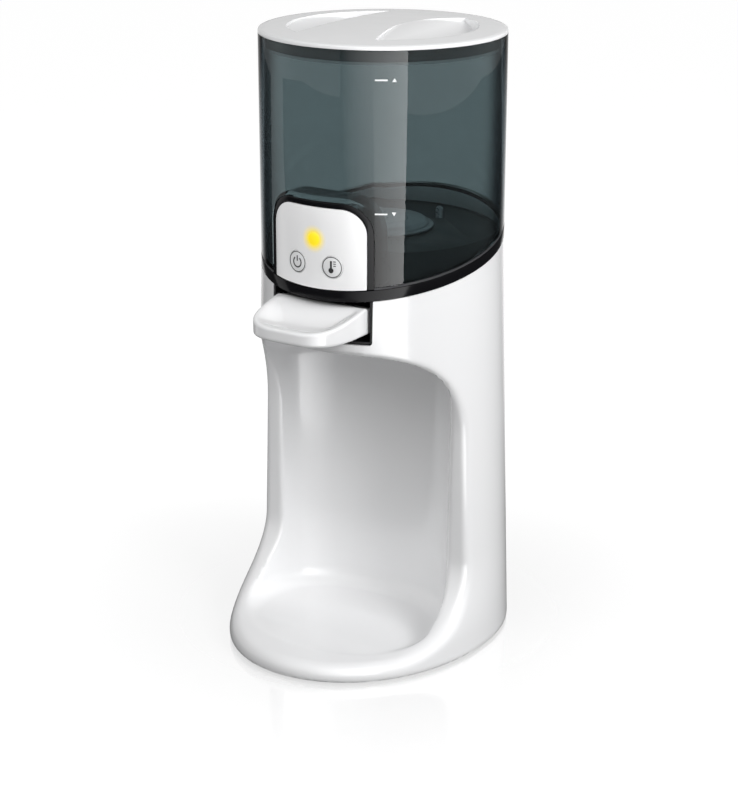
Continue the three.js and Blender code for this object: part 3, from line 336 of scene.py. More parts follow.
def cylinder(name, radius, bottom, top, x=0, y=0, sides=ROUND_SIDES):
    return rod(name, radius, top - bottom, at(x, y, (bottom + top) / 2), sides=sides)


def level_rod(name, radius, x, z, front, back):
    """A cylinder that lies from front to back."""
    return rod(name, radius, back - front, at(x, (front + back) / 2, z), (math.pi / 2, 0, 0))


def cross_rod(name, radius, y, z, half):
    """A cylinder that lies from left to right."""
    return rod(name, radius, 2 * half, at(0, y, z), (0, math.pi / 2, 0))


def box(name, left, right, front, back, bottom, top):
    bpy.ops.object.select_all(action="DESELECT")
    middle = at((left + right) / 2, (front + back) / 2, (bottom + top) / 2)
    bpy.ops.mesh.primitive_cube_add(size=1, location=middle)
    bpy.context.object.scale = Vector((right - left, back - front, top - bottom)) * MM
    return placed(name)


def edit(piece, select="SELECT"):
    activate(piece)
    bpy.ops.object.mode_set(mode="EDIT")
    bpy.ops.mesh.select_all(action=select)


def done():
    bpy.ops.object.mode_set(mode="OBJECT")


def bevel_where(piece, width, segments, test):
    """Rounds those edges whose two ends, in millimetres, pass a test."""
    edit(piece, "DESELECT")
    bpy.ops.mesh.select_mode(type="EDGE")
    done()
    mesh = piece.data
    ends = [(v.co / MM - Vector((0, AXIS_Y, 0))) for v in mesh.vertices]
    for edge in mesh.edges:
        edge.select = test(ends[edge.vertices[0]], ends[edge.vertices[1]])
    bpy.ops.object.mode_set(mode="EDIT")
    bpy.ops.mesh.bevel(offset=width * MM, segments=segments, affect="EDGES")
    done()


def modify(piece, kind, **settings):
    activate(piece)
    change = piece.modifiers.new(kind.title(), kind)
    for name, value in settings.items():
        setattr(change, name, value)
    bpy.ops.object.modifier_apply(modifier=change.name)


def combine(piece, other, operation):
    """Joins, cuts or keeps the common part of two closed pieces."""
    modify(piece, "BOOLEAN", object=other, operation=operation, solver="EXACT")
    bpy.data.objects.remove(other)
    return piece


def cut(piece, other):
    return combine(piece, other, "DIFFERENCE")


def face_outward():
    bpy.ops.mesh.select_all(action="SELECT")
    bpy.ops.mesh.normals_make_consistent(inside=False)


def weld(piece, distance):
    """Joins points that lie closer than a distance."""
    edit(piece)
    bpy.ops.mesh.remove_doubles(threshold=distance * MM)
    done()


def slice_off(piece, point, normal, fill=True):
    """Takes away what lies on the normal's side of a plane."""
    edit(piece)
    bpy.ops.mesh.bisect(plane_co=point, plane_no=normal, use_fill=fill, clear_outer=True)
    if fill:
        face_outward()
    done()
    return piece


def below_seam(piece, rise, fill=True):
    normal = (0, -math.sin(SEAM_TILT), math.cos(SEAM_TILT))
    return slice_off(piece, at(0, 0, SEAM_HEIGHT + rise), normal, fill)


def above_seam(piece, rise):
    normal = (0, math.sin(SEAM_TILT), -math.cos(SEAM_TILT))
    return slice_off(piece, at(0, 0, SEAM_HEIGHT + rise), normal)


def smooth(piece, angle=35):
    activate(piece)
    bpy.ops.object.shade_smooth_by_angle(angle=math.radians(angle))
    return piece


def round_edges(piece, width, segments=2, angle=35):
    """Rounds the sharp edges a little, as a mould does."""
    modify(
        piece,
        "BEVEL",
        width=width * MM,
        segments=segments,
        limit_method="ANGLE",
        angle_limit=math.radians(angle),
        use_clamp_overlap=True,
        miter_outer="MITER_ARC",
    )
    return smooth(piece, angle)


def turned(name, profile, closed=False):
    """A circle extruded ring by ring along (radius, height) points, capped at both ends unless closed."""
    (radius, height), *rest = profile
    bpy.ops.object.select_all(action="DESELECT")
    bpy.ops.mesh.primitive_circle_add(vertices=ROUND_SIDES, radius=radius * MM, location=at(0, 0, height))
    piece = placed(name)
    edit(piece)
    bpy.ops.mesh.select_mode(type="EDGE")
    for wide, tall in rest + ([profile[0]] if closed else []):
        bpy.ops.mesh.extrude_region_move()
        bpy.ops.transform.translate(value=(0, 0, (tall - height) * MM))
        scale = wide / radius
        bpy.ops.transform.resize(value=(scale, scale, 1), center_override=at(0, 0, tall))
        radius, height = wide, tall
    bpy.ops.mesh.select_all(action="SELECT")
    bpy.ops.mesh.remove_doubles(threshold=RING_WELD * MM)
    if not closed:
        bpy.ops.mesh.select_all(action="DESELECT")
        bpy.ops.mesh.select_non_manifold()
        bpy.ops.mesh.fill_holes(sides=0)
    face_outward()
    done()
    return piece


def arch(name, half, bottom, top, corner, back):
    """A block with its two top edges rounded, as the panel is seen from the front."""
    piece = box(name, -half, half, -FAR, back, bottom, top)
    near = 0.01
    bevel_where(
        piece, corner, SMALL_SIDES // 4, lambda a, b: min(a.z, b.z) > top - near and abs(a.x - b.x) < near
    )
    return piece


def panel_arch(name, margin, bottom, back):
    """The panel's outline with a margin round it, from far in front to a back plane."""
    half, top, corner = PANEL_HALF_WIDTH + margin, PANEL_TOP + margin, PANEL_CORNER + margin
    return arch(name, half, bottom, top, corner, back)


def from_points(name, places, faces):
    mesh = bpy.data.meshes.new(name)
    mesh.from_pydata(places, [], faces)
    piece = bpy.data.objects.new(name, mesh)
    bpy.context.scene.collection.objects.link(piece)
    return piece


def prism(name, outline, bottom, top):
    """A block whose outline of (x, y) points is seen from above."""
    count = len(outline)
    places = [at(x, y, z) for z in (bottom, top) for x, y in outline]
    faces = [list(reversed(range(count))), list(range(count, 2 * count))]
    faces += [[i, (i + 1) % count, count + (i + 1) % count, count + i] for i in range(count)]
    return from_points(name, places, faces)


def refined(node, width):
    """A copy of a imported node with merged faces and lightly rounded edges."""
    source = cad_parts[node]
    piece = source.copy()
    piece.data = source.data.copy()
    for key in list(piece.keys()):
        del piece[key]
    piece.parent = None
    piece.name = piece.data.name = node + "_fine"
    bpy.context.scene.collection.objects.link(piece)
    edit(piece)
    bpy.ops.mesh.remove_doubles(threshold=NODE_WELD * MM)
    bpy.ops.mesh.dissolve_limited(angle_limit=math.radians(1))
    done()
    if width:
        round_edges(piece, width, angle=NODE_ANGLE)
    else:
        smooth(piece, NODE_ANGLE)
    return piece


def paint(piece, look):
    piece.data.materials.clear()
    piece.data.materials.append(FINISHES[look])


def hand_over(piece, body, slot, look, *nodes):
    """Gives a finished piece its material and its body, and hides the nodes that it stands for; the slot is
    not used.
    """
    paint(piece, look)
    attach(piece, body)
    if nodes:
        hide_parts(*nodes)


# Smooth forms given by their distance to a point
def rounded_max(a, b, radius):
    """What two forms have in common, with the edge between them rounded."""
    corner = np.hypot(np.maximum(a + radius, 0), np.maximum(b + radius, 0))
    return np.minimum(-radius, np.maximum(a, b)) + corner


def squared_off(u, v, wide, deep, power):
    """Distance to a squared-off ellipse about the origin."""
    a, b = np.abs(u) / wide, np.abs(v) / deep
    reach = np.maximum((a**power + b**power) ** (1 / power), 1e-6)
    slope = np.hypot((a / reach) ** (power - 1) / wide, (b / reach) ** (power - 1) / deep)
    return (reach - 1) / np.maximum(slope, 1 / max(wide, deep))


def ease(share):
    share = np.clip(share, 0, 1)
    return share * share * (3 - 2 * share)


def outer_form(x, y, z):
    """The slightly tapered column whose foot swells out towards the front."""
    radius = np.hypot(x, y)
    turn = np.arctan2(x, -y) / 2
    taper = (FOOT_REAR_RADIUS - SHOULDER_RADIUS) / SEAM_HEIGHT
    share = np.clip((z - FLARE_START) / (FLARE_END - FLARE_START), 0, 1)
    reach = FOOT_REACH * np.abs(np.cos(turn)) ** FOOT_WRAP_POWER
    fall = 1 - ease(share)
    climb = taper + reach * 6 * share * (1 - share) / (FLARE_END - FLARE_START)
    around = reach * fall * FOOT_WRAP_POWER / 2 * np.tan(np.clip(turn, -1.5, 1.5)) / np.maximum(radius, 1)
    return (radius - FOOT_REAR_RADIUS + taper * z - reach * fall) / np.sqrt(1 + climb**2 + around**2)


def mouth_form(y, z):
    """What is open from side to side."""
    ahead = np.maximum(y - MOUTH_EDGE + MOUTH_CORNER_REACH, 0)
    above = np.maximum(z - BAY_CEILING + MOUTH_CORNER_DROP, 0)
    upper = squared_off(ahead, above, MOUTH_CORNER_REACH, MOUTH_CORNER_DROP, MOUTH_CORNER_POWER)
    rim_height = FLARE_END - FLARE_START
    ahead = np.maximum(y - MOUTH_EDGE + RIM_REACH, 0)
    below = np.maximum(BAY_FLOOR + rim_height - z, 0)
    lower = squared_off(ahead, below, RIM_REACH, rim_height, RIM_POWER)
    return np.maximum(upper, lower)


def bay_form(x, y, z):
    """The hollow that the bottle stands in."""
    half = BAY_HALF_WIDTH + BAY_WIDENING * z / BAY_CEILING
    wall = squared_off(x / half, (y - BAY_CENTRE) / BAY_DEPTH_RADIUS, 1, 1, BAY_POWER)
    with_floor = rounded_max(wall * BAY_DEPTH_RADIUS, BAY_FLOOR - z, BAY_FLOOR_FILLET)
    return rounded_max(with_floor, z - BAY_CEILING, BAY_CEILING_FILLET)


def body_form(places):
    x, y, z = places.T
    share = ease((z - FLARE_START) / (FLARE_END - FLARE_START))
    lip = LIP_RADIUS + (FOOT_EDGE_RADIUS - LIP_RADIUS) * (1 - share)
    around = rounded_max(-bay_form(x, y, z), -mouth_form(y, z), INNER_LIP_RADIUS)
    return rounded_max(outer_form(x, y, z), around, lip)


def body_with_edge(places):
    return rounded_max(body_form(places), BODY_BOTTOM - places[:, 2], UNDER_RADIUS)


def lever_form(places):
    """Paddle with a squared-off front, a sloping dished top and a deeper root in its pocket."""
    x, y, z = places.T
    reach = LEVER_ROOT - LEVER_FRONT
    plan = squared_off(x, np.minimum(y - LEVER_ROOT, 0), LEVER_HALF_WIDTH, reach, LEVER_POWER)
    rise = (LEVER_ROOT_TOP - LEVER_FRONT_TOP) / reach
    fall = (LEVER_ROOT_TOP - LEVER_INNER_TOP) / (LEVER_INNER_BACK - LEVER_ROOT)
    top = LEVER_ROOT_TOP + rise * np.minimum(y - LEVER_ROOT, 0) - fall * np.maximum(y - LEVER_ROOT, 0)
    rim = rounded_max(plan + LEVER_RIM, y - LEVER_ROOT + LEVER_RIM, LEVER_EDGE * 2)
    share = np.clip(-rim / LEVER_DISH_REACH, 0, 1)
    dish = LEVER_DISH * ease(share**LEVER_DISH_POWER)
    form = rounded_max(plan, (z - top + dish) / math.sqrt(1 + rise**2), LEVER_EDGE / 2)
    form = rounded_max(form, LEVER_BOTTOM - z, LEVER_EDGE)
    return rounded_max(form, y - LEVER_INNER_BACK, LEVER_EDGE / 2)


def slope_of(form, places):
    steps = np.eye(3) * SLOPE_STEP
    return np.stack([(form(places + s) - form(places - s)) / (2 * SLOPE_STEP) for s in steps], 1)


def settle(form, level, places, rounds):
    """Brings points onto the surface where the form's distance has one value."""
    for _ in range(rounds):
        slope = slope_of(form, places)
        length = np.maximum((slope**2).sum(1), 0.05)
        shift = ((form(places) - level) / length)[:, None] * slope
        places = places - np.clip(shift, -BODY_STEP, BODY_STEP)
    return places


def evened(places, quads, rounds, form, level):
    """Spreads the points evenly over the surface."""
    ends = np.concatenate([quads[:, [i, (i + 1) % 4]] for i in range(4)])
    ends = np.concatenate([ends, ends[:, ::-1]])
    count = np.maximum(np.bincount(ends[:, 0], minlength=len(places)), 1)
    for _ in range(rounds):
        middle = np.stack([np.bincount(ends[:, 0], places[ends[:, 1], i], len(places)) for i in range(3)], 1)
        places = settle(form, level, places + (middle / count[:, None] - places) / 2, 1)
    return places


def skin(name, form, level, low, high, step):
    """The surface at one distance from a form as a mesh of even four-sided faces."""
    low = np.array(low, float)
    axes = [np.arange(a, b + step, step) for a, b in zip(low, high)]
    grid = np.stack(np.meshgrid(*axes, indexing="ij"), -1)
    inside = (form(grid.reshape(-1, 3)) < level).reshape(grid.shape[:3])
    sizes = [n - 1 for n in inside.shape]
    corners = sum(
        inside[tuple(slice(d, d + n) for d, n in zip(corner, sizes))].astype(int)
        for corner in product((0, 1), repeat=3)
    )
    mixed = (corners > 0) & (corners < 8)
    number = np.full(mixed.shape, -1)
    number[mixed] = np.arange(mixed.sum())
    places = np.argwhere(mixed) * step + low + step / 2
    quads = []
    for axis in range(3):
        one, two = (axis + 1) % 3, (axis + 2) % 3
        length = inside.shape[axis] - 1
        here = np.take(inside, range(length), axis)
        starts = np.argwhere(here != np.take(inside, range(1, length + 1), axis))
        for other in (one, two):
            starts = starts[(starts[:, other] > 0) & (starts[:, other] < mixed.shape[other])]
        a, b = np.eye(3, dtype=int)[one], np.eye(3, dtype=int)[two]
        faces = np.stack([number[tuple((starts - back).T)] for back in (0 * a, a, a + b, b)], 1)
        outward = here[tuple(starts.T)]
        quads.append(np.where(outward[:, None], faces, faces[:, ::-1]))
    quads = np.concatenate(quads)
    places = settle(form, level, places, 6)
    places = settle(form, level, evened(places, quads, 12, form, level), 3)
    return from_points(name, [at(*p) for p in places.tolist()], quads.tolist())


# Nodes of the materials
def add(tree, kind, links=(), **settings):
    """Adds a node, sets its values and feeds its sockets."""
    node = tree.nodes.new("ShaderNode" + kind if not kind.startswith("NodeGroup") else kind)
    for name, value in settings.items():
        setattr(node, name, value)
    for socket, value in links:
        if isinstance(value, bpy.types.NodeSocket):
            tree.links.new(value, node.inputs[socket])
        else:
            node.inputs[socket].default_value = value
    return node


def calc(tree, operation, a, b):
    return add(tree, "Math", [(0, a), (1, b)], operation=operation).outputs[0]


def remap(tree, value, low, high, start, end, kind="LINEAR"):
    """Turns the range from low to high into the range from start to end."""
    links = [("Value", value), ("From Min", low), ("From Max", high), ("To Min", start), ("To Max", end)]
    return add(tree, "MapRange", links, interpolation_type=kind).outputs[0]


def noise(tree, place, scale, detail, **sockets):
    links = [("Vector", place), ("Scale", scale), ("Detail", detail), *sockets.items()]
    return add(tree, "TexNoise", links).outputs[0]


def mixed_color(tree, share, one, two):
    colors = [(*color, 1) if isinstance(color, tuple) else color for color in (one, two)]
    return add(tree, "Mix", [(0, share), (6, colors[0]), (7, colors[1])], data_type="RGBA").outputs[2]


def place_in(tree):
    return add(tree, "TexCoord").outputs["Object"]


def feed(tree, socket, output):
    tree.links.new(output, tree.nodes["Principled BSDF"].inputs[socket])


# Shared surface effects
HAND_MARK_SCALE = 26
GRAIN_DISTANCE = 0.0004
LINE_SCALE = 900
LINE_SWING = 0.12
LINE_DEPTH = 0.15
LINE_DISTANCE = 0.0003
DRIFT_SCALE = 14


def effect_group(name, inputs):
    """A group that gives Roughness and Normal from plain numbers."""
    group = bpy.data.node_groups.new(name, "ShaderNodeTree")
    for title, value in inputs.items():
        group.interface.new_socket(title, in_out="INPUT", socket_type="NodeSocketFloat").default_value = value
    group.interface.new_socket("Roughness", in_out="OUTPUT", socket_type="NodeSocketFloat")
    group.interface.new_socket("Normal", in_out="OUTPUT", socket_type="NodeSocketVector")
    return group, add(group, "NodeGroupInput").outputs, place_in(group)


def moulded_finish():
    """Faint waviness, fine grain and hand marks of moulded plastic."""
    group, source, place = effect_group(
        "moulded_finish", {"Roughness": 0.2, "Variation": 0.05, "Grain Scale": 900, "Grain Depth": 0.02}
    )
    marks = remap(group, noise(group, place, HAND_MARK_SCALE, 5, Roughness=0.6), 0.3, 0.7, -1, 1)
    swing = calc(group, "MULTIPLY", marks, source["Variation"])
    rough = calc(group, "ADD", swing, source["Roughness"])
    grain = noise(group, place, source["Grain Scale"], 2)
    links = [("Height", grain), ("Strength", source["Grain Depth"]), ("Distance", GRAIN_DISTANCE)]
    bump = add(group, "Bump", links).outputs[0]
    add(group, "NodeGroupOutput", [("Roughness", rough), ("Normal", bump)])
    return group


def drawn_lines():
    """Fine turned or brushed lines for metal, in rings about the tank's axis."""
    group, source, place = effect_group("drawn_lines", {"Roughness": 0.3})
    centre = add(group, "Mapping", [("Vector", place), ("Location", (0, -AXIS_Y * MM, 0))])
    split = add(group, "SeparateXYZ", [(0, centre.outputs[0])]).outputs
    total = calc(group, "ADD", calc(group, "POWER", split[0], 2), calc(group, "POWER", split[1], 2))
    ring = add(group, "CombineXYZ", [(0, calc(group, "POWER", total, 0.5)), (2, split[2])])
    lines = noise(group, ring.outputs[0], LINE_SCALE, 3)
    rough = calc(group, "ADD", remap(group, lines, 0, 1, -LINE_SWING, LINE_SWING), source["Roughness"])
    bump = add(group, "Bump", [("Height", lines), ("Strength", LINE_DEPTH), ("Distance", LINE_DISTANCE)])
    add(group, "NodeGroupOutput", [("Roughness", rough), ("Normal", bump.outputs[0])])
    return group


MOULDED = moulded_finish()
DRAWN = drawn_lines()


def new_material(name, color, **sockets):
    """A material with its shader's own sockets set."""
    material = bpy.data.materials.new(name)
    material.use_nodes = True
    shader = material.node_tree.nodes["Principled BSDF"]
    shader.inputs["Base Color"].default_value = (*color, 1)
    for socket, value in sockets.items():
        shader.inputs[socket.replace("_", " ")].default_value = value
    return material, material.node_tree


def give_finish(tree, group, values, titles=("Roughness", "Normal")):
    """Feeds the shader from a shared surface effect."""
    finish = add(tree, "Group", values.items(), node_tree=group)
    for title in titles:
        feed(tree, title, finish.outputs[title])


def plastic(name, color, roughness, variation=0.04, scale=900, depth=0.02, *, tint, **sockets):
    """Moulded plastic; tint is a second colour that drifts in faintly."""
    material, tree = new_material(name, color, **sockets)
    values = {"Roughness": roughness, "Variation": variation, "Grain Scale": scale, "Grain Depth": depth}
    give_finish(tree, MOULDED, values)
    drift = noise(tree, place_in(tree), DRIFT_SCALE, 3)
    feed(tree, "Base Color", mixed_color(tree, drift, color, tint))
    return material


def metal(name, color, roughness):
    material, tree = new_material(name, color, Metallic=1)
    give_finish(tree, DRAWN, {"Roughness": roughness})
    return material


def panel_material(name, strength):
    """White plastic with the indicator lamp's glow painted round its lens as yellow tint and emission; on the
    lens itself the glow is the lamp's own light.
    """
    sockets = {"Coat_Weight": 0.2, "Coat_Roughness": 0.06, "Emission_Strength": strength}
    material = plastic(name, PANEL_WHITE, 0.2, tint=PANEL_WHITE, **sockets)
    tree = material.node_tree
    place = place_in(tree)
    centre = at(0, -TANK_RADIUS, LENS_HEIGHT)
    reach = add(tree, "VectorMath", [(0, place), (1, centre)], operation="DISTANCE").outputs["Value"]
    near, far = GLOW_CORE_RADIUS * MM, GLOW_END_RADIUS * MM
    glow = remap(tree, reach, near, far, 1, 0, "SMOOTHSTEP")
    plain = tree.nodes["Principled BSDF"].inputs["Base Color"].links[0].from_socket
    # Painted glow: round the lens the panel turns yellow and emits, as the lamp's light would fall on it
    feed(tree, "Base Color", mixed_color(tree, glow, plain, GLOW_COLOR))
    feed(tree, "Emission Color", mixed_color(tree, glow, (0, 0, 0), GLOW_COLOR))
    return material


def tank_material():
    """Smoky blue-grey clear plastic, darker and duller where its wall turns away."""
    material, tree = new_material(
        "smoked_clear", TANK_TINT, IOR=1.06, Transmission_Weight=1, Coat_IOR=1.45, Coat_Roughness=0.02
    )
    facing = add(tree, "LayerWeight", [("Blend", 0.5)]).outputs["Facing"]
    slant = remap(tree, facing, *TANK_TINT_SLANT, 0, 1, "SMOOTHSTEP")
    feed(tree, "Base Color", mixed_color(tree, slant, TANK_TINT, TANK_EDGE_TINT))
    feed(tree, "Coat Weight", remap(tree, facing, *TANK_GLOSS_SLANT, TANK_GLOSS, TANK_EDGE_GLOSS))
    give_finish(tree, MOULDED, {"Roughness": 0.012, "Variation": 0.012}, ["Roughness"])
    return material


WHITE = (0.84, 0.84, 0.845)
WHITE_SHADE = (0.82, 0.825, 0.835)
PANEL_WHITE = (0.96, 0.96, 0.965)
# Colour, strength and reach of the lamp's glow, painted onto the panel round the lens
GLOW_COLOR = (1.0, 0.77, 0.02)
HALO_STRENGTH = 0.3
LENS_STRENGTH = 0.34
GLOW_CORE_RADIUS = 2.8
GLOW_END_RADIUS = 9
TANK_TINT = (0.266, 0.323, 0.334)
TANK_EDGE_TINT = (0.022, 0.03, 0.036)
TANK_TINT_SLANT = (0.45, 0.72)
TANK_GLOSS_SLANT = (0.4, 0.7)
TANK_GLOSS = 0.75
TANK_EDGE_GLOSS = 0.03

FINISHES = {
    "white": plastic("white_gloss", WHITE, 0.2, tint=WHITE_SHADE, Coat_Weight=0.25, Coat_Roughness=0.05),
    # Panel white with the lamp's glow painted round the lens
    "panel": panel_material("panel_white", HALO_STRENGTH),
    "smoked": tank_material(),
    "black": plastic(
        "black_gloss", (0.004, 0.004, 0.005), 0.12, 0.03, tint=(0.007, 0.007, 0.008), Specular_IOR_Level=0.15
    ),
    "dark": plastic("dark_satin", (0.028, 0.032, 0.037), 0.38, 0.08, 700, 0.08, tint=(0.036, 0.04, 0.045)),
    "silicone": plastic(
        "silicone", (0.62, 0.65, 0.66), 0.5, 0.08, 500, 0.05, tint=(0.57, 0.6, 0.61),
        Subsurface_Weight=0.15, Subsurface_Scale=0.003,
    ),
    "seal": plastic("seal_ring", (0.15, 0.16, 0.165), 0.5, 0.08, 500, 0.05, tint=(0.12, 0.13, 0.135)),
    "rubber": plastic("rubber", (0.03, 0.03, 0.033), 0.75, 0.1, 400, 0.2, tint=(0.045, 0.045, 0.048)),
    "steel": metal("satin_steel", (0.6, 0.61, 0.63), 0.3),
    "brass": metal("brass", (0.6, 0.44, 0.2), 0.32),
    "grey": plastic("grey_moulding", (0.36, 0.38, 0.39), 0.45, 0.08, 600, 0.08, tint=(0.32, 0.34, 0.35)),
    "pale": plastic("pale_moulding", (0.66, 0.67, 0.68), 0.35, 0.06, 700, 0.05, tint=(0.6, 0.61, 0.62)),
    "board": plastic("circuit_board", (0.02, 0.11, 0.05), 0.45, 0.1, 1200, 0.1, tint=(0.035, 0.15, 0.07)),
    "cable": plastic("wire_cover", (0.04, 0.04, 0.042), 0.5, 0.1, 500, 0.1, tint=(0.06, 0.06, 0.062)),
    "lens": panel_material("yellow_lens", LENS_STRENGTH),
    "print_black": plastic("black_print", (0.012, 0.012, 0.012), 0.4, tint=(0.02, 0.02, 0.02)),
    "print_white": plastic("white_print", (0.85, 0.86, 0.86), 0.4, tint=(0.8, 0.81, 0.82)),
}


# White body
def make_body():
    reach = SHOULDER_RADIUS + SIDE_ROOM
    front, rear = -FOOT_REAR_RADIUS - FOOT_REACH - GRID_ROOM, FOOT_REAR_RADIUS + GRID_ROOM
    high = (reach, rear, seam(SHOULDER_RADIUS) + GRID_TOP_ROOM)
    body = skin("body_fine", body_with_edge, 0, (-reach, front, GRID_LOW), high, BODY_STEP)
    inner = skin("body_inner", body_form, -BODY_WALL, (-reach, front, INNER_GRID_LOW), high, BODY_INNER_STEP)
    for piece in (body, inner):
        below_seam(piece, 0, fill=False)
        slice_off(piece, at(0, 0, BOTTOM_CUT), (0, 0, -1), fill=False)
    edit(inner)
    bpy.ops.mesh.flip_normals()
    done()
    activate(body)
    inner.select_set(True)
    bpy.ops.object.join()
    for limit in (SEAM_HEIGHT / 2, FAR * 2):
        edit(body, "DESELECT")
        bpy.ops.mesh.select_mode(type="EDGE")
        bpy.ops.mesh.select_non_manifold(use_wire=False, use_multi_face=False, use_non_contiguous=False)
        done()
        ends = body.data.vertices
        for edge in body.data.edges:
            if edge.select and ends[edge.vertices[0]].co.z > limit * MM:
                edge.select = False
        bpy.ops.object.mode_set(mode="EDIT")
        bpy.ops.mesh.bridge_edge_loops()
        done()
    edit(body)
    face_outward()
    done()
    half = POCKET_HALF_WIDTH + WINDOW_GAP
    window = box("window", -half, half, -FAR, POCKET_BACK, WINDOW_BOTTOM, FAR * 2)
    near = 1
    bevel_where(
        window,
        WINDOW_CORNER,
        WINDOW_SEGMENTS,
        lambda a, b: max(a.z, b.z) < WINDOW_BOTTOM + near and abs(a.x - b.x) < near,
    )
    cut(body, window)
    half = INLET_HALF_WIDTH
    cut(body, box("inlet_hole", -half, half, INLET_FRONT, FAR, INLET_BOTTOM, INLET_TOP))
    low, high = BAY_CEILING - SPOUT_HOLE_BELOW, BAY_CEILING + SPOUT_HOLE_ABOVE
    cut(body, cylinder("spout_hole", SPOUT_HOLE, low, high, 0, SPOUT_Y, SMALL_SIDES))
    smooth(body, BODY_ANGLE)
    hand_over(body, "base", "white_gloss", "white", "body_shell")


# Black band between body and tank
def make_band():
    band = cylinder("band_fine", TANK_RADIUS, STOCK_LOW, STOCK_HIGH)
    above_seam(band, SEAM_GAP)
    below_seam(band, BAND_HEIGHT)
    spigot = cylinder("spigot", SPIGOT_RADIUS, STOCK_LOW, STOCK_HIGH)
    above_seam(spigot, -SPIGOT_DEPTH)
    below_seam(spigot, BAND_HEIGHT - SPIGOT_DROP)
    half = POCKET_HALF_WIDTH + BAND_POCKET_GAP
    pocket = box("pocket", -half, half, -FAR, POCKET_BACK + SEAM_GAP, CUTTER_LOW, CUTTER_HIGH)
    below_seam(pocket, SEAM_GAP)
    cut(spigot, pocket)
    combine(band, spigot, "UNION")
    cut(band, band_hole(BAND_INNER_RADIUS))
    cut(band, above_seam(band_hole(LINING_RADIUS), -LINING_DEPTH))
    half = RIBBON_HALF_WIDTH
    cut(band, box("ribbon_slot", -half, half, RIBBON_FRONT, HOUSING_BACK, CUTTER_LOW, CUTTER_HIGH))
    round_edges(band, BAND_EDGE, FINE_SEGMENTS)
    hand_over(band, "base", "black_gloss", "black", "collar_ring")

    lining = band_hole(LINING_RADIUS - LINING_GAP)
    above_seam(lining, SEAM_GAP - LINING_DEPTH)
    below_seam(lining, BAND_HEIGHT)
    cut(lining, band_hole(BAND_INNER_RADIUS))
    round_edges(lining, LINING_EDGE)
    hand_over(lining, "base", "white_gloss", "white")


def band_hole(radius):
    """A round core that stops short of the panel's housing."""
    half = PANEL_HALF_WIDTH + ALCOVE_MARGIN + 2 * ALCOVE_WALL
    back = HOUSING_BACK + SEAM_GAP + 2 * ALCOVE_WALL
    core = cylinder("band_lining", radius, CUTTER_LOW, CUTTER_HIGH)
    return cut(core, box("bridge", -half, half, -TANK_RADIUS - OVERRUN, back, BRIDGE_LOW, BRIDGE_HIGH))


# Clear tank with an alcove for the panel
def make_tank():
    tank = cylinder("tank_fine", TANK_RADIUS, STOCK_LOW, TANK_TOP)
    cut(tank, cylinder("tank_hollow", TANK_INNER, CUTTER_LOW, HOLLOW_HIGH))
    back = HOUSING_BACK + SEAM_GAP
    outer = panel_arch("alcove_wall", ALCOVE_MARGIN + ALCOVE_WALL, ALCOVE_LOW, back + ALCOVE_WALL)
    combine(outer, cylinder("alcove_reach", TANK_RADIUS - SEAM_GAP, CUTTER_LOW, CUTTER_HIGH), "INTERSECT")
    combine(tank, outer, "UNION")
    cut(tank, panel_arch("alcove", ALCOVE_MARGIN, CUTTER_LOW, back))
    above_seam(tank, TANK_RISE)
    weld(tank, TANK_WELD)
    round_edges(tank, TANK_EDGE, FINE_SEGMENTS)
    hand_over(tank, "base", "smoked_clear", "smoked", "tank_wall")


# Prints wrapped on the tank and the buttons
def wrapped(name, outlines, radius, azimuth=0.0):
    """Flat outlines of (across, height) points laid on an upright cylinder as one thin print."""
    places, faces = [], []
    for outline in outlines:
        start = len(places)
        count = len(outline)
        for depth in (0, PRINT_THICKNESS):
            for across, height in outline:
                angle = azimuth + across / radius
                reach = radius + depth
                places.append(at(reach * math.sin(angle), -reach * math.cos(angle), height))
        faces.append([start + count + i for i in range(count)])
        faces.append([start + i for i in reversed(range(count))])
        for i in range(count):
            j = (i + 1) % count
            faces.append([start + i, start + j, start + count + j, start + count + i])
    return from_points(name, places, faces)


def stroke(points, width):
    """Blocks of one width that follow a line of points."""
    blocks = []
    for (a, b), (c, d) in zip(points, points[1:]):
        length = math.hypot(c - a, d - b)
        u, v = (b - d) / length * width / 2, (c - a) / length * width / 2
        blocks.append([(a - u, b - v), (c - u, d - v), (c + u, d + v), (a + u, b + v)])
    return blocks


def ring_strip(centre, inner, outer, start=0.0, end=2 * math.pi, steps=48):
    """Blocks along an arc, measured from straight up towards the right."""
    angles = [start + (end - start) * i / steps for i in range(steps + 1)]

    def spot(radius, angle):
        return centre[0] + radius * math.sin(angle), centre[1] + radius * math.cos(angle)

    return [
        [spot(inner, b), spot(outer, b), spot(outer, a), spot(inner, a)] for a, b in zip(angles, angles[1:])
    ]


def fused(piece):
    """Joins the shared sides of a print's blocks into one closed form."""
    edit(piece)
    bpy.ops.mesh.remove_doubles(threshold=PRINT_WELD * MM)
    bpy.ops.mesh.select_all(action="DESELECT")
    bpy.ops.mesh.select_interior_faces()
    bpy.ops.mesh.delete(type="FACE")
    face_outward()
    done()
    return piece


def make_marks():
    """A dash and a small triangle at the upper and at the lower level."""
    radius = TANK_RADIUS + PRINT_GAP
    half = MARK_HEIGHT / 2
    edges = [-MARK_WIDTH / 2 + MARK_WIDTH * i / MARK_STEPS for i in range(MARK_STEPS + 1)]
    for name, height, sign in (("max_mark", MAX_MARK, 1), ("min_mark", MIN_MARK, -1)):
        low, high = height - half, height + half
        dash = [[(a, low), (b, low), (b, high), (a, high)] for a, b in zip(edges, edges[1:])]
        piece = fused(wrapped(name, dash, radius, MARK_AZIMUTH))
        hand_over(piece, "base", "smoked_clear", "print_white")
        size = MARK_SIGN_HALF
        foot, tip = height - sign * size * MARK_SIGN_FOOT, height + sign * size * MARK_SIGN_TIP
        corners = [(-size, foot), (size, foot), (0, tip)][::sign]
        triangle = wrapped(name + "_sign", [corners], radius, MARK_SIGN_AZIMUTH)
        hand_over(triangle, "base", "smoked_clear", "print_white")


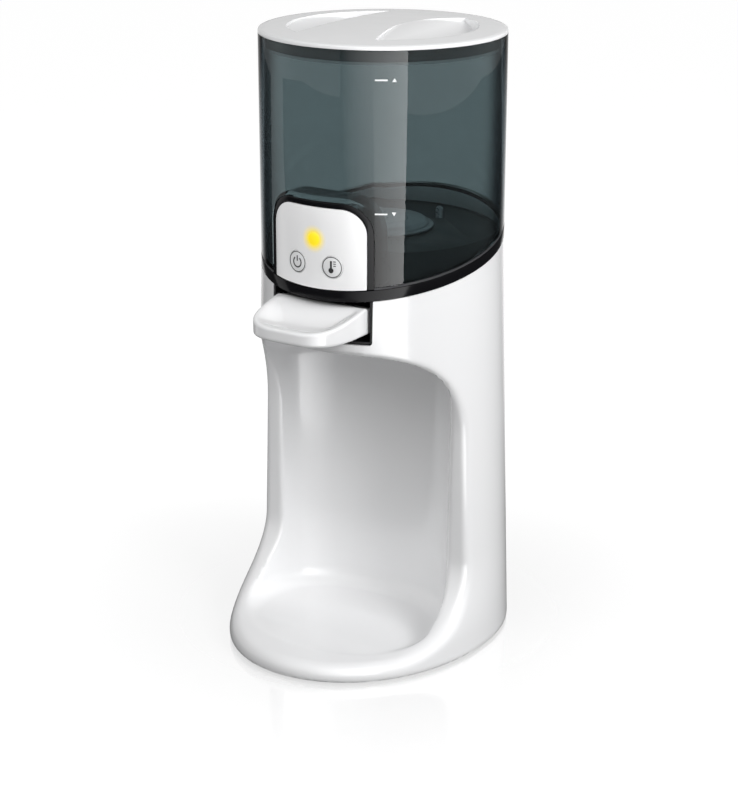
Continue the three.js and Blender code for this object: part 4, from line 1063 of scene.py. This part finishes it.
# Lid with two finger pockets
def make_lid():
    edge, corner = TANK_RADIUS, LID_RIM_CORNER
    under = TANK_TOP + SEAM_GAP
    rings = [(edge - LID_RIM_STEP) * (LID_RINGS - i) / LID_RINGS for i in range(LID_RINGS)]
    dome = [(ring, RIM_TOP + LID_RISE * (1 - (ring / TANK_RADIUS) ** 2)) for ring in rings]
    rim = [(edge, under), (edge, RIM_TOP - LID_RIM_STEP), (edge - corner, RIM_TOP - corner)]
    lid = turned("lid_fine", rim + dome)
    inner, outer, flange = LID_SKIRT_RADIUS - LID_SKIRT_WALL, LID_SKIRT_RADIUS, LID_FLANGE_RADIUS
    low, high = under - LID_SKIRT_DEPTH, under + LID_RIM_STEP
    ledge = low + LID_FLANGE_HEIGHT
    profile = [(inner, high), (inner, low), (flange, low), (flange, ledge), (outer, ledge), (outer, high)]
    skirt = turned("skirt", profile, closed=True)
    combine(lid, skirt, "UNION")
    for margin in (POCKET_WALL, 0):
        for side in (-1, 1):
            pocket = lid_pocket(side, margin)
            if margin:
                slice_off(pocket, at(0, 0, RIM_TOP - POCKET_CAP), (0, 0, 1))
                combine(lid, pocket, "UNION")
            else:
                cut(lid, pocket)
    weld(lid, LID_WELD)
    round_edges(lid, LID_EDGE, FINE_SEGMENTS, LID_ANGLE)
    hand_over(lid, "lid", "white_gloss", "white", "lid_cap")


def make_lid_seal():
    """Dark ring round the lid's skirt, seen through the tank."""
    top = TANK_TOP - SEAL_END_GAP
    low = TANK_TOP - LID_SKIRT_DEPTH + LID_FLANGE_HEIGHT + SEAL_END_GAP
    inner, outer = LID_SKIRT_RADIUS + SEAL_GAP, LID_FLANGE_RADIUS + SEAL_OVERHANG
    seal = turned("lid_seal_fine", [(inner, top), (inner, low), (outer, low), (outer, top)], closed=True)
    round_edges(seal, SEAL_EDGE)
    hand_over(seal, "lid", "silicone", "seal", "lid_seal")


def lid_pocket(side, margin):
    """Finger pocket: deep at a straight bar on the left, and along a ridge on the right."""
    deep = LID_TOP - POCKET_DEPTH - margin
    shallow = RIM_TOP - margin
    reach = POCKET_RADIUS + margin
    pocket = cylinder("pocket", reach, deep - POCKET_UNDERCUT, LID_TOP + POCKET_OVERCUT)
    if side < 0:
        edge = margin - BAR_LEFT
        slice_off(pocket, at(edge, 0, 0), (1, 0, 0))
        floors = [((edge, deep), (-reach, shallow))]
    else:
        end = BAR_RIGHT_END - margin
        inner = BAR_RIGHT - margin
        tip = math.sqrt(reach**2 - end**2)
        out = 2 * (end - inner)
        shares = [i / SMALL_SIDES for i in range(1, SMALL_SIDES)]
        bows = [2 * t * (1 - t) for t in shares]
        edge = [(end - bow * out, tip * (1 - 2 * t) + bow * BAR_RIGHT_SKEW) for t, bow in zip(shares, bows)]
        ends = []
        for side_y in (tip, -tip):
            run = Vector((out, side_y - BAR_RIGHT_SKEW)).normalized() * LEAF_OVERRUN
            ends.append((end + run.x, side_y + run.y))
        past = reach + LEAF_SIDE
        outline = [ends[0], *edge, ends[1], (2 * reach, -past), (2 * reach, past)]
        leaf = prism("leaf", outline, deep - LEAF_UNDERCUT, LID_TOP + LEAF_OVERCUT)
        combine(pocket, leaf, "INTERSECT")
        floors = [((inner, LID_TOP - margin), (RIDGE, deep)), ((RIDGE, deep), (reach, shallow))]
    for (a, low), (b, high) in floors:
        normal = Vector((high - low, 0, a - b)).normalized()
        slice_off(pocket, at(a, 0, low), normal if normal.z < 0 else -normal)
    return pocket


# Control panel
def make_panel():
    housing = panel_arch("housing_fine", SURROUND_WIDTH, STOCK_LOW, HOUSING_BACK)
    combine(housing, round_core(TANK_RADIUS - SEAM_GAP), "INTERSECT")
    cut(housing, panel_arch("room", SEAM_GAP, CUTTER_LOW, HOUSING_BACK - HOUSING_BACK_WALL))
    above_seam(housing, BAND_HEIGHT + 2 * SEAM_GAP)
    round_edges(housing, HOUSING_EDGE)
    hand_over(housing, "base", "black_gloss", "black", "panel_housing")

    face = panel_arch("panel_fine", 0, STOCK_LOW, HOUSING_BACK)
    combine(face, round_core(TANK_RADIUS), "INTERSECT")
    cut(face, round_core(TANK_RADIUS - PANEL_THICKNESS))
    above_seam(face, BAND_HEIGHT + 2 * SEAM_GAP)
    round_edges(face, PANEL_EDGE, FINE_SEGMENTS)
    for x in (-BUTTON_OFFSET, BUTTON_OFFSET):
        cut(face, level_rod("hole", BUTTON_RADIUS + SEAM_GAP, x, BUTTON_HEIGHT, -FAR, 0))
    cut(face, level_rod("hole", LENS_RADIUS + LENS_GAP, 0, LENS_HEIGHT, -FAR, 0))
    smooth(face)
    hand_over(face, "base", "white_gloss", "panel", "panel_face")

    lens = level_rod("lens_fine", LENS_RADIUS, 0, LENS_HEIGHT, -FAR, LENS_DEPTH - TANK_RADIUS)
    combine(lens, round_core(TANK_RADIUS), "INTERSECT")
    round_edges(lens, LENS_EDGE)
    hand_over(lens, "base", "yellow_light", "lens", "indicator_lens")

    make_key("power_button", "power_key", -BUTTON_OFFSET)
    make_key("temp_button", "temp_key", BUTTON_OFFSET)


def round_core(radius):
    return cylinder("core", radius, CUTTER_LOW, CUTTER_HIGH)


def make_key(node, body, x):
    """A button with its flange and its post behind the panel."""
    front = BUTTON_FLANGE_FRONT
    back = front + BUTTON_FLANGE_THICKNESS
    key = level_rod(node + "_fine", BUTTON_RADIUS, x, BUTTON_HEIGHT, -FAR, front + BUTTON_LAP)
    combine(key, round_core(TANK_RADIUS + SEAM_GAP), "INTERSECT")
    combine(key, level_rod("flange", BUTTON_FLANGE_RADIUS, x, BUTTON_HEIGHT, front, back), "UNION")
    post = level_rod("post", BUTTON_POST_RADIUS, x, BUTTON_HEIGHT, back - BUTTON_LAP, BUTTON_POST_BACK)
    combine(key, post, "UNION")
    round_edges(key, BUTTON_EDGE)
    hand_over(key, body, "white_gloss", "white", node)
    make_key_print(x, body, node)


def make_key_print(x, body, node):
    """Thin ring and a plain symbol on a button."""
    radius = TANK_RADIUS + SEAM_GAP + PRINT_GAP
    across = radius * math.asin(x / radius)
    shapes = {"ring": ring_strip((across, BUTTON_HEIGHT), RING_INNER, RING_OUTER)}
    shapes |= (power_sign if x < 0 else warmth_sign)(across, BUTTON_HEIGHT)
    for title, blocks in shapes.items():
        piece = fused(wrapped(node + "_" + title, blocks, radius))
        hand_over(piece, body, "black_gloss", "print_black")


def power_sign(x, z):
    """An open ring with a bar in its gap."""
    inner, outer, gap = 2.6, 3.4, math.radians(36)
    low, high, width, drop = 0.4, 3.7, 0.8, 0.2
    return {
        "arc": ring_strip((x, z - drop), inner, outer, gap, 2 * math.pi - gap, 40),
        "bar": stroke([(x, z + low), (x, z + high)], width),
    }


def warmth_sign(x, z):
    """A thermometer with three ticks."""
    shift, drop, hole, bulb = 0.6, 2, 0.05, 1.6
    low, high, width = -0.5, 3.7, 1.2
    tick_start, tick_end, tick_width = 0.9, 2.5, 0.5
    rises = [z + rise for rise in (0.8, 2.1, 3.4)]
    ticks = [stroke([(x + tick_start, rise), (x + tick_end, rise)], tick_width) for rise in rises]
    return {
        "bulb": ring_strip((x - shift, z - drop), hole, bulb, steps=32),
        "stem": stroke([(x - shift, z + low), (x - shift, z + high)], width),
        "ticks": sum(ticks, []),
    }


# Press lever
def make_lever():
    low = (-LEVER_GRID_HALF, LEVER_FRONT - LEVER_ROOM, LEVER_BOTTOM - LEVER_ROOM)
    high = (LEVER_GRID_HALF, LEVER_INNER_BACK + LEVER_ROOM, LEVER_GRID_TOP)
    lever = skin("lever_fine", lever_form, 0, low, high, LEVER_STEP)
    arm = box("arm", -ARM_HALF_WIDTH, ARM_HALF_WIDTH, PIN_Y, ROLLER_Y, ARM_BOTTOM, ARM_TOP)
    combine(arm, cross_rod("roller", ROLLER_RADIUS, ROLLER_Y, ROLLER_Z, ARM_HALF_WIDTH), "UNION")
    round_edges(arm, ARM_EDGE)
    combine(lever, arm, "UNION")
    cut(lever, cross_rod("bore", PIN_BORE, PIN_Y, PIN_Z, BORE_HALF_LENGTH))
    smooth(lever, BODY_ANGLE)
    hand_over(lever, "lever", "white_gloss", "white", "lever_paddle")


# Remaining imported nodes
FINE_NODES = {
    "tank_gasket": ("rubber", "rubber", 0),
    "heater_platform": ("dark_plastic", "dark", 0.6),
    "heating_plate": ("steel", "steel", 0.4),
    "temperature_sensor": ("steel", "steel", 0.4),
    "lever_housing": ("black_gloss", "black", 0.4),
    "spout_nozzle": ("grey_plastic", "pale", 0.4),
    "power_inlet": ("black_gloss", "dark", 0.5),
    "base_plate": ("grey_plastic", "grey", 0.4),
    "valve_strainer": ("grey_plastic", "grey", 0.2),
}
PLAIN_NODES = {
    "silicone": ("valve_plunger", "outlet_tube"),
    "rubber": ("foot_pad_",),
    "dark": ("power_switch", "temp_switch", "thermostat", "transformer", "relay", "capacitor"),
    "steel": ("heating_element", "valve_spring", "lever_pin", "base_screw_"),
    "brass": ("board_screw_",),
    "grey": ("thermal_fuse", "valve_body", "lever_bush_"),
    "board": ("control_board", "power_board"),
    "cable": ("heater_wires", "inlet_wires", "panel_cable"),
    "lens": ("indicator_led",),
}


def finish_nodes():
    """Refines the nodes that show, colours the rest and gives the spring a mesh of its own."""
    for node, (slot, look, width) in FINE_NODES.items():
        piece = refined(node, width)
        if node == "heater_platform":
            slice_off(piece, at(0, 0, PLATFORM_TOP), (0, 0, 1))
        hand_over(piece, "base", slot, look, node)
    for look, starts in PLAIN_NODES.items():
        for node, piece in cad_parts.items():
            if node.startswith(starts):
                paint(piece, look)
    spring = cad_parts["valve_spring"]
    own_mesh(spring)


# Light
PURE_WHITE = (1, 1, 1, 1)
SKY_LEVEL = 0.58
SKY_SLOPE = (0.2, -0.1, -0.6)
SKY_MIRRORED = 0.7
LAMP_TARGET = 200
FLOOR_SIZE = 8
FLOOR_GLOW = 0.96
FLOOR_SHADE = 0.16
FLOOR_LIGHT = 0.24
MIRROR_NEAR = 0.1
MIRROR_FAR = 0.28
MIRROR_SHARE = 1.1
MIRROR_ROUGHNESS = 0.08
BACKDROP_WAY = (-0.545, 0.838, 0)
BACKDROP_START = 0.8
BACKDROP_FULL = 0.97
STUDIO_GLOW = 0.05


def bare_tree(owner):
    owner.use_nodes = True
    owner.node_tree.nodes.clear()
    return owner.node_tree


def white_glow(tree, kind, strength):
    return add(tree, kind, [("Color", PURE_WHITE), ("Strength", strength)]).outputs[0]


def mixed_shader(tree, share, one, two):
    return add(tree, "MixShader", [(0, share), (1, one), (2, two)]).outputs[0]


def by_ray(tree, seen, mirrored, other):
    """What the camera sees, also through clear plastic, what mirrors show and what lights the rest."""
    ray = add(tree, "LightPath").outputs
    looked = calc(tree, "MAXIMUM", ray["Is Camera Ray"], ray["Is Transmission Ray"])
    return mixed_shader(tree, looked, mixed_shader(tree, ray["Is Glossy Ray"], other, mirrored), seen)


def way_of(azimuth, elevation=0.0):
    """The direction from the object towards an azimuth, measured from the front to the right."""
    angle, rise = math.radians(azimuth), math.radians(elevation)
    return Vector((math.sin(angle) * math.cos(rise), -math.cos(angle) * math.cos(rise), math.sin(rise)))


def hide_from(thing, *rays):
    for ray in rays:
        setattr(thing, "visible_" + ray, False)


def reflector(name, start, end, distance, low, high, weak, strong):
    """An upright wall between two azimuths, seen only in reflections, that glows more towards its end."""
    middle = (start + end) / 2
    half = math.tan(math.radians(abs(end - start) / 2)) * distance
    bpy.ops.mesh.primitive_plane_add(size=1)
    wall = bpy.context.object
    wall.name = name
    wall.scale = (2 * half, high - low, 1)
    bpy.ops.object.transform_apply(location=False, rotation=False, scale=True)
    wall.rotation_euler = (math.pi / 2, 0, math.radians(middle))
    wall.location = at(0, 0, 0) + way_of(middle) * distance
    wall.location.z = (low + high) / 2
    material = bpy.data.materials.new(name)
    tree = bare_tree(material)
    across = add(tree, "SeparateXYZ", [(0, place_in(tree))]).outputs[0]
    light = white_glow(tree, "Emission", remap(tree, across, -half, half, weak, strong))
    add(tree, "OutputMaterial", [("Surface", light)])
    wall.data.materials.append(material)
    hide_from(wall, "camera", "shadow", "transmission", "diffuse")


def lamp(name, azimuth, elevation, distance, size, power):
    """A soft square lamp aimed at the object's middle."""
    toward = way_of(azimuth, elevation)
    bpy.ops.object.light_add(type="AREA", location=at(0, 0, LAMP_TARGET) + toward * distance)
    light = bpy.context.object
    light.name = name
    light.data.shape = "SQUARE"
    light.data.size = size
    light.data.energy = power
    light.rotation_euler = (-toward).to_track_quat("-Z", "Y").to_euler()
    hide_from(light, "camera", "glossy", "transmission")


def light_scene():
    """A white studio; distances and heights of its lights are in metres."""
    scene = bpy.context.scene
    scene.view_settings.view_transform = "Standard"
    scene.world = bpy.data.worlds.new("white_surround")
    tree = bare_tree(scene.world)
    toward = add(tree, "TexCoord").outputs["Generated"]
    slope = add(tree, "VectorMath", [(0, toward), (1, SKY_SLOPE)], operation="DOT_PRODUCT").outputs["Value"]
    around = white_glow(tree, "Background", calc(tree, "ADD", slope, SKY_LEVEL))
    mirrored = white_glow(tree, "Background", SKY_MIRRORED)
    white = white_glow(tree, "Background", 1)
    add(tree, "OutputWorld", [("Surface", by_ray(tree, white, mirrored, around))])
    reflector("key_wall", start=-1.8, end=52.7, distance=0.311, low=0.002, high=0.45, weak=0, strong=6.6)
    reflector("rim_wall", start=-81, end=-63, distance=0.5, low=0, high=0.62, weak=0.75, strong=0.75)
    lamp("key", azimuth=82, elevation=26.5, distance=1.4, size=0.7, power=16)
    lamp("fill", azimuth=-15, elevation=44, distance=1.4, size=0.9, power=8.5)
    make_floor()


def make_floor():
    """A floor as white as the backdrop that mirrors the foot faintly."""
    bpy.ops.mesh.primitive_plane_add(size=FLOOR_SIZE, location=(0, 0, 0))
    floor = bpy.context.object
    floor.name = "floor"
    material = bpy.data.materials.new("floor")
    tree = bare_tree(material)
    place = place_in(tree)
    reach = add(tree, "VectorMath", [(0, place), (1, (0, 0, 0))], operation="DISTANCE").outputs["Value"]
    near = remap(tree, reach, MIRROR_NEAR, MIRROR_FAR, MIRROR_SHARE, 0)
    facing = add(tree, "LayerWeight", [("Blend", 0.5)]).outputs["Facing"]
    share = calc(tree, "MULTIPLY", near, calc(tree, "POWER", facing, 2))
    lit = white_glow(tree, "Emission", FLOOR_GLOW)
    shaded = add(tree, "BsdfDiffuse", [("Color", (FLOOR_SHADE, FLOOR_SHADE, FLOOR_SHADE, 1))]).outputs[0]
    ground = add(tree, "AddShader", [(0, lit), (1, shaded)]).outputs[0]
    mirror = add(tree, "BsdfGlossy", [("Color", PURE_WHITE), ("Roughness", MIRROR_ROUGHNESS)]).outputs[0]
    way = add(tree, "VectorMath", [(0, place)], operation="NORMALIZE").outputs[0]
    behind = add(tree, "VectorMath", [(0, way), (1, BACKDROP_WAY)], operation="DOT_PRODUCT").outputs["Value"]
    backdrop = remap(tree, behind, BACKDROP_START, BACKDROP_FULL, STUDIO_GLOW, 1, "SMOOTHSTEP")
    seen = mixed_shader(tree, share, ground, mirror)
    mirrored = white_glow(tree, "Emission", backdrop)
    surface = by_ray(tree, seen, mirrored, white_glow(tree, "Emission", FLOOR_LIGHT))
    add(tree, "OutputMaterial", [("Surface", surface)])
    floor.data.materials.append(material)


aim_camera()
make_body()
make_band()
make_tank()
make_marks()
make_lid()
make_lid_seal()
make_panel()
make_lever()
finish_nodes()
light_scene()
